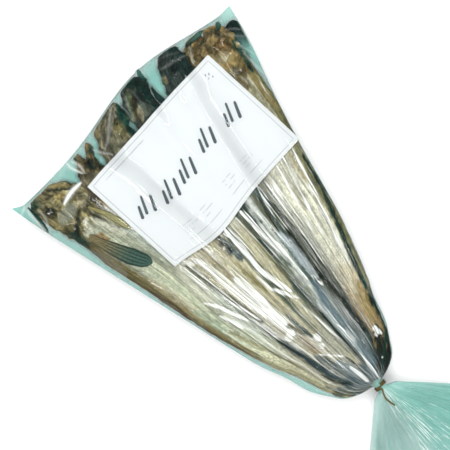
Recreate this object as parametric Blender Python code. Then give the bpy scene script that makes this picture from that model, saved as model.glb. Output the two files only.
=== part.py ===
"""A tied clear bag of whole dried pollock, lying flat, with its paper card and its twist tie.

The frame: +X runs along the pack from the fish heads to the bag's gathered mouth, +Y across it,
+Z up. The origin is under the middle of the pack, on the surface that it lies on. Lengths are in
metres. "From the knot" is the distance from the twist tie, back along the pack.
"""

import math
from collections import namedtuple

import bmesh
import bpy
import numpy as np

# The bag
BODY_LENGTH = 0.472  # from the knot to the furthest point of the bag's closed end
CORNER_LENGTH = 0.447  # from the knot to the closed end at its two corners
SKIRT_LENGTH = 0.128  # of free film past the knot
KNOT_X = (BODY_LENGTH - SKIRT_LENGTH) / 2
END_BULGE_AT, END_BULGE_SPREAD = 0.045, 0.095  # the heads push the closed end out here
SIDE_START = (0.0594, 0.0500)  # half widths of the straight sides, run on to the knot: -Y, +Y
SIDE_FLARE = (0.262, 0.285)  # how much each side widens over its length
SHOULDER = 0.072  # the bag rounds in towards the knot over this length
FULL_THICKNESS = 0.056
THICKENING = 0.050  # the pack's thickness builds up over this length from the knot
SETTLING = 0.0036  # the pack's own weight flattens it this much on what it lies on
SEAM_SHARE = 0.40  # how high the side folds lie, as a share of the pack's thickness
FILM_EDGE = 0.0006  # half the thickness of the flat film margins
NECK_RADIUS, NECK_HALF_LENGTH, NECK_HEIGHT = 0.0068, 0.0045, 0.0185
TUCK_DEPTH, TUCK_AT, TUCK_SPREAD = 0.0010, 0.035, 0.030  # the gathers that run into the knot

# The skirt of gathered film past the knot
SKIRT_SPREAD = math.radians(44)
SKIRT_HALF_THICKNESS = 0.0042
PLEATS, PLEAT_DEPTH = 11, 0.0045
MOUTH_HEIGHT = 0.0085

# The fish. snout is from the knot. snout_share and body_share are places across the bag, as shares
# of its half width. level is the height of the body, as a share of the pack's thickness. wide and
# high are half sizes as laid: one on its side is wide and low, one on its belly narrow and high.
Fish = namedtuple("Fish", "snout snout_share body_share level wide high")
FISH = (
    Fish(0.443, -0.88, -0.775, 0.47, 0.0265, 0.0140),
    Fish(0.446, -0.35, -0.500, 0.32, 0.0170, 0.0160),
    Fish(0.464, -0.03, -0.330, 0.66, 0.0250, 0.0150),
    Fish(0.466, 0.18, -0.030, 0.68, 0.0165, 0.0175),
    Fish(0.462, 0.50, 0.270, 0.67, 0.0185, 0.0170),
    Fish(0.448, 0.82, 0.740, 0.60, 0.0260, 0.0150),
    Fish(0.437, 0.93, 0.850, 0.30, 0.0170, 0.0140),
    Fish(0.452, -0.20, -0.180, 0.25, 0.0240, 0.0135),
    Fish(0.455, 0.32, 0.420, 0.24, 0.0240, 0.0135),
    Fish(0.440, -0.72, -0.680, 0.22, 0.0210, 0.0120),
)
TAIL_END = 0.020  # the tails stop this far short of the knot
HEAD_TURN = 0.48  # of a fish's length, over which its line swings from the snout's share to the body's
GIRTH_AT = (0, 0.05, 0.13, 0.24, 0.38, 0.70, 0.90, 1)  # of a fish's length, from the snout
GIRTH = (0.25, 0.62, 0.88, 1, 0.97, 0.66, 0.40, 0.34)

# The paper card on the pack
CARD_WIDTH, CARD_LENGTH, CARD_THICKNESS = 0.210, 0.148, 0.0005
CARD_FROM_KNOT, CARD_ACROSS = 0.3475, 0.0185
CARD_TURN = math.radians(4.4)
CARD_GAP = 0.0005
CARD_STIFFNESS = 0.020  # the card bridges dips narrower than about this
CARD_TOUCH = 0.010  # and clears every ridge this near to it

# The twist tie, a wire in a thin skin
WIRE_RADIUS = 0.0009
RING_RADIUS = NECK_RADIUS + WIRE_RADIUS + 0.0004
RING_TURNS, RING_PITCH, RING_STEPS = 1.9, 0.0024, 32
TIE_TAIL = (  # the free end, from the knot: along, across and above the neck's axis
    (0.0030, -0.0008, 0.0100),
    (0.0090, -0.0040, 0.0098),
    (0.0141, -0.0061, 0.0090),
    (0.0184, -0.0059, 0.0084),
    (0.0293, -0.0031, 0.0066),
)

# How finely the solids are faceted
BODY_ROWS, NECK_ROWS, SKIRT_ROWS, COLUMNS = 50, 4, 11, 44
ROW_CROWDING = 1.15  # above 1, the rows crowd towards the closed end
DRAPE_ROUNDS = 18
CARD_ROWS, CARD_COLUMNS = 12, 18
CARD_SMOOTHING_ROUNDS = 3


def clear_scene():
    for item in list(bpy.data.objects):
        bpy.data.objects.remove(item, do_unlink=True)


def material(name, colour, roughness, metallic=0.0):
    made = bpy.data.materials.new(name)
    made.use_nodes = True
    shader = made.node_tree.nodes["Principled BSDF"]
    shader.inputs["Base Color"].default_value = (*colour, 1.0)
    shader.inputs["Roughness"].default_value = roughness
    shader.inputs["Metallic"].default_value = metallic
    return made


def smooth_step(value):
    value = np.clip(value, 0, 1)
    return value * value * (3 - 2 * value)


def arch(share):
    """The height of a half ellipse over a share of its half width."""
    return np.sqrt(np.clip(1 - share**2, 0, 1))


def half_width(from_knot, share):
    """The bag's width on one side of its axis: a straight flare with a round shoulder."""
    shoulder = np.clip((from_knot - NECK_HALF_LENGTH) / SHOULDER, 0, 1)
    start = np.where(share < 0, *SIDE_START)
    flare = np.where(share < 0, *SIDE_FLARE)
    return np.maximum((start + flare * from_knot) * arch(1 - shoulder), NECK_RADIUS)


def end_distance(across):
    """How far from the knot the closed end is, which the heads push out into a shallow arc."""
    bulge = BODY_LENGTH - CORNER_LENGTH
    return CORNER_LENGTH + bulge * np.exp(-(((across - END_BULGE_AT) / END_BULGE_SPREAD) ** 2))


def thickness(from_knot):
    """The pack's thickness: near the neck's at the knot, and full over the bodies and heads."""
    filled = 1 - np.exp(-(from_knot + THICKENING / 2) / THICKENING)
    return 2 * NECK_RADIUS + (FULL_THICKNESS - 2 * NECK_RADIUS) * filled


def fish_section(fish, from_knot):
    """A fish's share across the bag, the height of its middle and its two half sizes."""
    along = np.clip((fish.snout - from_knot) / (fish.snout - TAIL_END), 0, 1)
    share = fish.snout_share + (fish.body_share - fish.snout_share) * smooth_step(along / HEAD_TURN)
    level = 0.5 + (fish.level - 0.5) * smooth_step(from_knot / 0.12)
    girth = np.interp(along, GIRTH_AT, GIRTH)
    return share, thickness(from_knot) * level, fish.wide * girth, fish.high * girth


def fish_faces(across, from_knot, seam):
    """The top and bottom of the heap of fish at each point, and the seam's height where none lies."""
    top = seam.copy()
    bottom = seam.copy()
    for fish in FISH:
        share, middle, wide, high = fish_section(fish, from_knot)
        offset = (across - share * half_width(from_knot, share)) / wide
        here = (np.abs(offset) < 1) & (from_knot < fish.snout) & (from_knot > TAIL_END)
        top = np.where(here, np.maximum(top, middle + high * arch(offset)), top)
        bottom = np.where(here, np.minimum(bottom, middle - high * arch(offset)), bottom)
    return top, bottom


def draped(held_off, side):
    """A film drawn over a surface: each inner point hangs between its neighbours or is held off.

    side is +1 for a film above the surface and -1 for one below it.
    """
    film = held_off * side
    rest = film[1:-1, 1:-1].copy()
    for _ in range(DRAPE_ROUNDS):
        hung = (film[:-2, 1:-1] + film[2:, 1:-1] + film[1:-1, :-2] + film[1:-1, 2:]) / 4
        film[1:-1, 1:-1] = np.maximum(rest, hung)
    return film * side


def body_grid(shares):
    """Points of the bag's two faces, in rows from the closed end to the neck."""
    row = 1 - np.linspace(0, 1, BODY_ROWS)[:, None] ** ROW_CROWDING
    straight = NECK_HALF_LENGTH + row * (CORNER_LENGTH - NECK_HALF_LENGTH)
    width = half_width(straight, shares)
    across = shares * width
    from_knot = NECK_HALF_LENGTH + row * (end_distance(across) - NECK_HALF_LENGTH)

    in_from_end = smooth_step((1 - row) * BODY_ROWS / 3)
    seam = SEAM_SHARE * thickness(from_knot) * (0.72 + 0.28 * in_from_end)
    seam += (NECK_HEIGHT - seam) * (1 - smooth_step(from_knot / 0.05))
    top, bottom = fish_faces(across, from_knot, seam)
    for face in (top, bottom):
        face[0, :], face[:, 0], face[:, -1] = seam[0, :], seam[:, 0], seam[:, -1]

    gathered = 1 - smooth_step(from_knot / 0.045)
    hoop = np.minimum(width * arch(shares), thickness(from_knot) / 2) - 0.1 * (1 - gathered)
    top = draped(np.maximum(top, NECK_HEIGHT + hoop), 1)
    bottom = draped(np.clip(np.minimum(bottom, NECK_HEIGHT - hoop), 0, None), -1)
    tucks = TUCK_DEPTH * np.cos(shares * math.pi * PLEATS) * (1 - shares**2)
    tucks = tucks * np.exp(-(((from_knot - TUCK_AT) / TUCK_SPREAD) ** 2))
    top = np.maximum(top + tucks, seam + FILM_EDGE)
    bottom = np.clip(bottom - SETTLING, 0, seam - FILM_EDGE)
    return KNOT_X - from_knot, across, top, bottom


def neck_grid(shares):
    """The gathered neck under the tie, a short round bar, a little waisted."""
    along = np.linspace(-1, 1, NECK_ROWS + 1)[1:, None]
    waist = NECK_RADIUS * (1 + 0.05 * along**2)
    half = np.maximum(waist * arch(shares), FILM_EDGE)
    x = KNOT_X + along * NECK_HALF_LENGTH + 0 * shares
    return x, waist * shares, NECK_HEIGHT + half, NECK_HEIGHT - half


def skirt_grid(shares):
    """The fan of gathered film past the knot, pleated all round, that sinks to rest on its pleats."""
    along = np.linspace(0, 1, SKIRT_ROWS + 1)[1:, None]
    angle = shares * SKIRT_SPREAD
    ragged = 1 - 0.02 * (1 - np.cos(9 * angle)) - 0.02 * np.sin(4.3 * angle) ** 2
    reach = along * (SKIRT_LENGTH - NECK_HALF_LENGTH) * ragged
    x = KNOT_X + NECK_HALF_LENGTH + reach * np.cos(angle)
    across = reach * np.sin(angle) + NECK_RADIUS * shares * (1 - along)
    middle = NECK_HEIGHT + (MOUTH_HEIGHT - NECK_HEIGHT) * smooth_step(along * 1.2)
    middle = middle + PLEAT_DEPTH * along * np.cos(shares * math.pi * PLEATS)
    swell = SKIRT_HALF_THICKNESS * np.sin(math.pi * 0.85 * along)
    half = (NECK_RADIUS * (1 - smooth_step(along * 3)) + swell) * arch(shares)
    half = np.maximum(half, FILM_EDGE)
    return x, across, middle + half, np.maximum(middle - half, 0)


def move_to(vertices, x, y, z):
    for vertex, point in zip(vertices, np.stack([x.ravel(), y.ravel(), z.ravel()], axis=1)):
        vertex.co = point


def solid_between(name, x, y, upper, lower):
    """A closed solid between two height fields over one grid of points."""
    rows, columns = x.shape
    built = bmesh.new()
    grid = bmesh.ops.create_grid(built, x_segments=columns - 1, y_segments=rows - 1, size=1)["verts"]
    copy = bmesh.ops.duplicate(built, geom=built.verts[:] + built.edges[:] + built.faces[:])["geom"]
    move_to(grid, x, y, upper)
    move_to([item for item in copy if isinstance(item, bmesh.types.BMVert)], x, y, lower)
    copied_faces = [item for item in copy if isinstance(item, bmesh.types.BMFace)]
    bmesh.ops.reverse_faces(built, faces=copied_faces)
    bmesh.ops.bridge_loops(built, edges=[edge for edge in built.edges if edge.is_boundary])
    bmesh.ops.triangulate(built, faces=built.faces[:])
    bmesh.ops.recalc_face_normals(built, faces=built.faces[:])
    mesh = bpy.data.meshes.new(name)
    built.to_mesh(mesh)
    built.free()
    return bpy.data.objects.new(name, mesh)


def build_bag(collection):
    """The pouch full of fish, the gathered neck and the skirt, as one solid out to the film."""
    crowding = math.pi / 2 * 0.92  # the columns crowd towards the side folds
    shares = np.sin(np.linspace(-1, 1, COLUMNS) * crowding)[None, :] / math.sin(crowding)
    parts = (body_grid(shares), neck_grid(shares), skirt_grid(shares))
    x, y, top, bottom = (np.concatenate(fields) for fields in zip(*parts))
    bag = solid_between("bag", x, y, top, bottom)
    bag.data.materials.append(material("bag_film", (0.45, 0.55, 0.42), 0.15))
    bag.data.shade_smooth()
    collection.objects.link(bag)
    return np.stack([x.ravel(), y.ravel(), top.ravel()], axis=1)


def resting_height(x, y, bag_top):
    """The height of stiff paper laid on the bag: a broad average that clears each ridge below."""
    average = np.empty(x.size)
    ridge = np.empty(x.size)
    for index, point in enumerate(np.stack([x.ravel(), y.ravel()], axis=1)):
        distance = np.linalg.norm(bag_top[:, :2] - point, axis=1)
        weight = np.exp(-(distance**2) / (2 * CARD_STIFFNESS**2))
        average[index] = (weight * bag_top[:, 2]).sum() / weight.sum()
        ridge[index] = bag_top[distance < CARD_TOUCH, 2].max()
    lift = max((ridge - average).max(), 0) / 2
    return np.maximum(average + lift, ridge).reshape(x.shape) + CARD_GAP


def build_card(collection, bag_top):
    """The card, a sheet of A5 paper laid across the fish just below their heads."""
    length = np.linspace(-0.5, 0.5, CARD_ROWS)[:, None] * CARD_LENGTH
    width = np.linspace(-0.5, 0.5, CARD_COLUMNS)[None, :] * CARD_WIDTH
    x = KNOT_X - CARD_FROM_KNOT + length * math.cos(CARD_TURN) - width * math.sin(CARD_TURN)
    y = CARD_ACROSS + length * math.sin(CARD_TURN) + width * math.cos(CARD_TURN)
    rest = resting_height(x, y, bag_top)
    lower = rest.copy()
    for _ in range(CARD_SMOOTHING_ROUNDS):
        lower[1:-1, :] = (lower[:-2, :] + 2 * lower[1:-1, :] + lower[2:, :]) / 4
        lower[:, 1:-1] = (lower[:, :-2] + 2 * lower[:, 1:-1] + lower[:, 2:]) / 4
        lower = np.maximum(lower, rest)
    card = solid_between("label_card", x, y, lower + CARD_THICKNESS, lower)
    card.data.materials.append(material("card_paper", (0.90, 0.95, 0.96), 0.55))
    collection.objects.link(card)


def build_tie(collection):
    """The twist tie, which winds round the neck and leaves over the skirt in one free end."""
    points = []
    for turn in np.linspace(0, RING_TURNS, RING_STEPS + 1):
        angle = 2 * math.pi * turn
        along = RING_PITCH * (turn - RING_TURNS / 2)
        points.append((along, RING_RADIUS * math.sin(angle), RING_RADIUS * math.cos(angle)))
    points.extend(TIE_TAIL)
    curve = bpy.data.curves.new("twist_tie", "CURVE")
    curve.dimensions = "3D"
    curve.bevel_depth = WIRE_RADIUS
    curve.bevel_resolution = 2
    curve.use_fill_caps = True
    spline = curve.splines.new("POLY")
    spline.points.add(len(points) - 1)
    for point, (along, across, above) in zip(spline.points, points):
        point.co = (KNOT_X + along, across, NECK_HEIGHT + above, 1)
    curve.materials.append(material("tie_foil", (0.55, 0.38, 0.14), 0.35, metallic=0.8))
    collection.objects.link(bpy.data.objects.new("twist_tie", curve))


def main():
    clear_scene()
    collection = bpy.data.collections.new("dried_pollock_pack")
    bpy.context.scene.collection.children.link(collection)
    bag_top = build_bag(collection)
    build_card(collection, bag_top)
    build_tie(collection)


main()
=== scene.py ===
"""The looks of a tied clear bag of whole dried pollock, with its paper card, around its frame."""

import math
from collections import namedtuple

import bpy
import numpy as np
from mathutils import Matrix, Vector, noise
from mathutils.bvhtree import BVHTree


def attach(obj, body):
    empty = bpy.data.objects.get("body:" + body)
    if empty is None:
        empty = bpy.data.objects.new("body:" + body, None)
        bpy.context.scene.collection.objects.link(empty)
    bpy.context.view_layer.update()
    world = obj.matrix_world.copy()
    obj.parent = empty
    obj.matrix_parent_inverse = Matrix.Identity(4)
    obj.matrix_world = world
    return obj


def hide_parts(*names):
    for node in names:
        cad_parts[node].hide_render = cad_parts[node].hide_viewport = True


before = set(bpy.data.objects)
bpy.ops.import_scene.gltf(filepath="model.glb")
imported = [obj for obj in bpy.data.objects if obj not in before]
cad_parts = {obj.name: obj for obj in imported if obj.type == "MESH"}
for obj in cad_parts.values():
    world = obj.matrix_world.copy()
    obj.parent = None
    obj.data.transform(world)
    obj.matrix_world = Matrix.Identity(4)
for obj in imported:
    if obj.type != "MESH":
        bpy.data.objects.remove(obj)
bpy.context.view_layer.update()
bpy.ops.object.select_all(action="DESELECT")

# ---------------------------------------------------------------------------------------------
# The camera. It looks straight down on the pack, turned so that the pack lies across the frame
# from its heads, upper left, to its knot, lower right. A long lens keeps the sides upright.

VIEW_CENTRE = (-0.094, -0.004)
VIEW_WIDTH = 0.5337
VIEW_TURN = math.radians(46.8)
VIEW_HEIGHT = 2.2
FISH_LEVEL = 0.030  # the width is measured at this height

bpy.ops.object.camera_add(
    location=(*VIEW_CENTRE, VIEW_HEIGHT + FISH_LEVEL), rotation=(0, 0, VIEW_TURN)
)
camera = bpy.context.object
camera.name = "camera"
camera.data.lens = camera.data.sensor_width * VIEW_HEIGHT / VIEW_WIDTH
camera.data.clip_end = 20
bpy.context.scene.camera = camera

# ---------------------------------------------------------------------------------------------
# The fish. Whole pollock, dried hard until the skin shrinks into lengthwise creases, packed in two
# layers with their heads fanned out at the closed end and their tails drawn together at the knot.
# Each is lofted round its own spine from snout to tail.

# The bag that they fill: lengths from the knot, how its closed end and its sides run, its neck and
# its thickness.
BODY_LENGTH, CORNER_LENGTH, SKIRT_LENGTH = 0.472, 0.447, 0.128
KNOT_X = (BODY_LENGTH - SKIRT_LENGTH) / 2
END_BULGE_AT, END_BULGE_SPREAD = 0.045, 0.095
SIDE_START, SIDE_FLARE, SHOULDER = (0.0594, 0.0500), (0.262, 0.285), 0.072
NECK_RADIUS, NECK_HALF_LENGTH, NECK_HEIGHT = 0.0068, 0.0045, 0.0185
FULL_THICKNESS, THICKENING = 0.056, 0.050
DRAWN_IN = 0.045  # all that is in the bag runs in to the neck over this length
# Where a side swells or draws in: how far from the knot, over what spread, and how much on the -Y
# and the +Y side.
SIDE_SWELLS = (
    (0.076, 0.026, -0.0055, -0.0055),
    (0.015, 0.012, 0.0060, 0.0058),
    (0.405, 0.055, 0, 0.0030),
    (0.180, 0.065, 0, 0.0040),
)


def smooth_step(value):
    value = np.clip(value, 0, 1)
    return value * value * (3 - 2 * value)


def arch(share):
    return np.sqrt(np.clip(1 - share**2, 0, 1))


def blob(x, y, wide, high):
    return np.exp(-((x / wide) ** 2) - (y / high) ** 2)


def half_width(from_knot, share):
    """The bag's width on one side of its axis: a flare with its swells, rounded at the knot."""
    shoulder = np.clip((from_knot - NECK_HALF_LENGTH) / SHOULDER, 0, 1)
    start = np.where(share < 0, *SIDE_START)
    flare = np.where(share < 0, *SIDE_FLARE)
    width = (start + flare * from_knot) * arch(1 - shoulder)
    for place, spread, low_side, high_side in SIDE_SWELLS:
        swell = np.where(share < 0, low_side, high_side)
        width = width + swell * blob(from_knot - place, 0, spread, 1)
    return np.maximum(width, NECK_RADIUS)


def end_distance(across):
    bulge = BODY_LENGTH - CORNER_LENGTH
    return CORNER_LENGTH + bulge * np.exp(-(((across - END_BULGE_AT) / END_BULGE_SPREAD) ** 2))


def thickness(from_knot):
    filled = 1 - np.exp(-(from_knot + THICKENING / 2) / THICKENING)
    return 2 * NECK_RADIUS + (FULL_THICKNESS - 2 * NECK_RADIUS) * filled


def srgb(red, green, blue):
    """A display colour, 0 to 255, as the linear value that shaders take."""
    share = np.array((red, green, blue)) / 255
    return np.where(share > 0.04045, ((share + 0.055) / 1.055) ** 2.4, share / 12.92)


def vertex_places(item):
    places = np.empty(len(item.data.vertices) * 3)
    item.data.vertices.foreach_get("co", places)
    return places.reshape(-1, 3)


def set_places(item, places):
    item.data.vertices.foreach_set("co", np.ascontiguousarray(places, np.float32).ravel())
    item.data.update()


def add_sheet(name, rows, columns):
    """A flat grid and, for each of its vertices, how far along and across it is, from 0 to 1."""
    bpy.ops.mesh.primitive_grid_add(x_subdivisions=rows, y_subdivisions=columns, size=1)
    item = bpy.context.object
    item.name = item.data.name = name
    flat = vertex_places(item)
    return item, flat[:, 0] + 0.5, flat[:, 1] + 0.5


def merge_and_face_out(item, distance=0.00002):
    bpy.ops.object.mode_set(mode="EDIT")
    bpy.ops.mesh.select_all(action="SELECT")
    bpy.ops.mesh.remove_doubles(threshold=distance)
    bpy.ops.mesh.normals_make_consistent(inside=False)
    bpy.ops.object.mode_set(mode="OBJECT")


def join_as(items, name):
    bpy.ops.object.select_all(action="DESELECT")
    for item in items:
        item.select_set(True)
    bpy.context.view_layer.objects.active = items[0]
    bpy.ops.object.join()
    joined = bpy.context.object
    joined.name = joined.data.name = name
    return joined


def ripples(along, around, random, counts, drift):
    """Smooth uneven waves around a form that wander as they run along it, about -1 to 1."""
    total = np.zeros_like(along)
    for count in counts:
        phase, swing, pace = random.uniform(0, 2 * math.pi, 2).tolist() + [random.uniform(3, 9)]
        wander = drift * np.sin(along * pace + swing)
        total += np.sin(count * around + phase + wander)
    return total / math.sqrt(len(counts))


# A fish's look: its colours on the back, flank, belly, head, eye, tail and tail fin.
Look = namedtuple("Look", "back flank belly head eye tail fin")
LOOKS = {
    "sage": Look(
        (118, 108, 68), (188, 194, 170), (208, 216, 200), (152, 142, 96), (40, 38, 28),
        (206, 204, 168), (188, 178, 134),
    ),
    "gaping": Look(
        (112, 110, 84), (196, 192, 168), (236, 237, 232), (112, 98, 60), (20, 40, 34),
        (188, 184, 158), (70, 92, 98),
    ),
    "brown": Look(
        (88, 98, 76), (194, 190, 160), (241, 239, 228), (118, 112, 84), (34, 30, 22),
        (182, 178, 152), (70, 92, 98),
    ),
    "striped": Look(
        (66, 80, 70), (200, 196, 164), (240, 240, 234), (30, 48, 42), (20, 26, 22),
        (178, 178, 156), (76, 98, 106),
    ),
    "dark": Look(
        (88, 104, 96), (196, 202, 192), (226, 231, 229), (14, 38, 34), (8, 20, 18),
        (122, 144, 150), (80, 106, 114),
    ),
    "golden": Look(
        (150, 148, 100), (208, 208, 190), (206, 206, 188), (132, 110, 58), (160, 132, 84),
        (158, 130, 66), (26, 34, 22),
    ),
    "black": Look(
        (8, 40, 32), (14, 52, 42), (44, 74, 62), (6, 36, 30), (4, 24, 20),
        (14, 36, 28), (12, 30, 24),
    ),
    # painted shade: the lower layer of fish, lying in the shade of the upper one, gets this darker copy
    # of the others' colours
    "shaded": Look(
        (44, 50, 40), (84, 88, 72), (116, 122, 108), (62, 64, 50), (20, 20, 16),
        (72, 90, 92), (60, 82, 88),
    ),
}

# Where each lies. snout and tail_end are distances from the knot. shares are places across the bag,
# of its half width, at the shares of the fish's length in FISH_AT. level is the height of the body,
# of the pack's thickness. depth and breadth are half sizes, back to belly and side to side. roll
# turns the back: 0 up, -90 to the -Y side, 90 to the +Y side. blunt rounds off the head.
Fish = namedtuple("Fish", "name snout tail_end shares level depth breadth roll gape blunt look")
FISH_AT = (0, 0.05, 0.11, 0.25, 0.42, 0.60, 0.80, 1)
FISH = (
    Fish(
        "fish_1", 0.445, 0.014, (-0.795, -0.755, -0.745, -0.742, -0.715, -0.775, -0.75, -0.70),
        0.50, 0.0302, 0.0140, -84, 0.10, 1.0, "sage",
    ),
    Fish(
        "fish_2", 0.452, 0.010, (-0.36, -0.42, -0.51, -0.50, -0.43, -0.45, -0.42, -0.35),
        0.50, 0.0205, 0.0150, 75, 1.00, 0.1, "gaping",
    ),
    Fish(
        "fish_3", 0.467, 0.008, (-0.01, -0.13, -0.195, -0.19, -0.165, -0.215, -0.22, -0.20),
        0.66, 0.0265, 0.0150, 66, 0.05, 0.6, "brown",
    ),
    Fish(
        "fish_4", 0.470, 0.009, (0.175, 0.130, 0.105, 0.085, 0.066, 0.02, -0.05, -0.01),
        0.68, 0.0195, 0.0165, 58, 0.05, 0.9, "striped",
    ),
    Fish(
        "fish_5", 0.467, 0.008, (0.455, 0.45, 0.42, 0.35, 0.30, 0.25, 0.22, 0.25),
        0.66, 0.0205, 0.0170, 50, 0.00, 1.0, "dark",
    ),
    Fish(
        "fish_6", 0.453, 0.007, (0.735, 0.715, 0.705, 0.742, 0.735, 0.73, 0.745, 0.77),
        0.60, 0.0345, 0.0150, 84, 0.35, 0.9, "golden",
    ),
    Fish(
        "fish_7", 0.439, 0.030, (0.93, 0.93, 0.83, 0.78, 0.80, 0.85, 0.87, 0.80),
        0.36, 0.0130, 0.0125, 60, 0.00, 1.0, "black",
    ),
    Fish(
        "fish_8", 0.408, 0.009, (-0.40, -0.36, -0.33, -0.33, -0.33, -0.32, -0.30, -0.20),
        0.24, 0.0290, 0.0120, 85, 0.00, 0.6, "shaded",
    ),
    Fish(
        "fish_9", 0.412, 0.008, (0.10, 0.10, 0.10, 0.10, 0.12, 0.14, 0.14, 0.10),
        0.24, 0.0300, 0.0120, -85, 0.00, 0.6, "shaded",
    ),
    Fish(
        "fish_10", 0.405, 0.009, (-0.66, -0.66, -0.64, -0.64, -0.62, -0.60, -0.56, -0.45),
        0.22, 0.0240, 0.0110, -85, 0.00, 0.6, "shaded",
    ),
    Fish(
        "fish_11", 0.415, 0.009, (0.50, 0.50, 0.50, 0.50, 0.48, 0.46, 0.44, 0.40),
        0.24, 0.0280, 0.0120, 85, 0.00, 0.6, "shaded",
    ),
)
FISH_ROWS, FISH_COLUMNS = 220, 84
# Half sizes along a fish as shares of its greatest, at these shares of its length from the snout.
GIRTH_AT = (0, 0.06, 0.12, 0.20, 0.30, 0.44, 0.59, 0.70, 0.80, 0.90, 0.945, 0.98, 1)
DEPTH_SHARE = (0.82, 0.90, 0.94, 0.95, 1, 0.96, 0.73, 0.57, 0.43, 0.27, 0.30, 0.46, 0.52)
BREADTH_SHARE = (0.55, 0.85, 0.97, 1, 1, 0.95, 0.80, 0.68, 0.54, 0.36, 0.24, 0.12, 0.05)
EYE_BACK, EYE_UP, EYE_RADIUS = 0.025, 0.58, 0.0058  # EYE_UP is a share of the depth
CHEEK_BACK, CHEEK_UP, GILL_BACK = 0.041, 0.30, 0.066
CHEEK_HALF_LENGTH, CHEEK_HALF_HEIGHT = 0.0085, 0.0165
CHEEK_GREY, BARE_CHEEK, SOME_CHEEK = (136, 140, 124), {"sage": 0.85, "dark": 0.0}, 0.25
MOUTH_BACK = 0.022
ROUNDING = np.linspace(-0.05, 0.05, 7)  # shares of its length over which a fish's route is rounded
# How clear a fish keeps of the film: its body, its snout, its sides and its underside.
BESIDE_FILM, END_GAP, SIDE_GAP, FLOOR_GAP = 0.003, 0.0045, 0.0028, 0.0008
ROUND_SNOUT, POINTED_SNOUT = 0.065, 0.12  # shares of a fish's length
ROOM_AT_KNOT, ROOM_GAIN = 0.0035, 0.32  # how thick a fish may be at the knot and away from it
# How far the skin stands out or sinks in, in metres: its creases over the body, what is on the head.
CREASE, FINE_CREASE, SHRUNK_CREASE, PUCKER, SPECK = 0.0006, 0.0003, 0.0012, 0.00025, 0.0008
GILL_RIM, GILL_SLIT, SOCKET, SOCKET_RIM, CHEEK_RIM = 0.0016, 0.0014, 0.0028, 0.0012, 0.0010
WRINKLE, LUMP, SKIN_FOLD, JAW_DROP = 0.0009, 0.0040, 0.0016, 0.009

# The tones of dried skin, from its wet-looking dark parts to its bare bellies. The darkest also paint
# shade and shadow.
TONES = {
    "ink": (32, 34, 24), "pine": (10, 44, 36), "green": (14, 62, 52), "spruce": (44, 70, 60),
    "steel": (62, 82, 88), "slate": (102, 124, 132), "moss": (108, 118, 84),
    "olive": (128, 122, 76), "brown": (88, 68, 38), "stone": (108, 108, 86), "dun": (158, 154, 132),
    "tan": (176, 168, 138), "straw": (192, 188, 156), "gold": (164, 146, 92),
    "rust": (146, 118, 70), "sage": (166, 182, 156), "cream": (212, 213, 192),
    "ice": (208, 220, 224),
}
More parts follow.
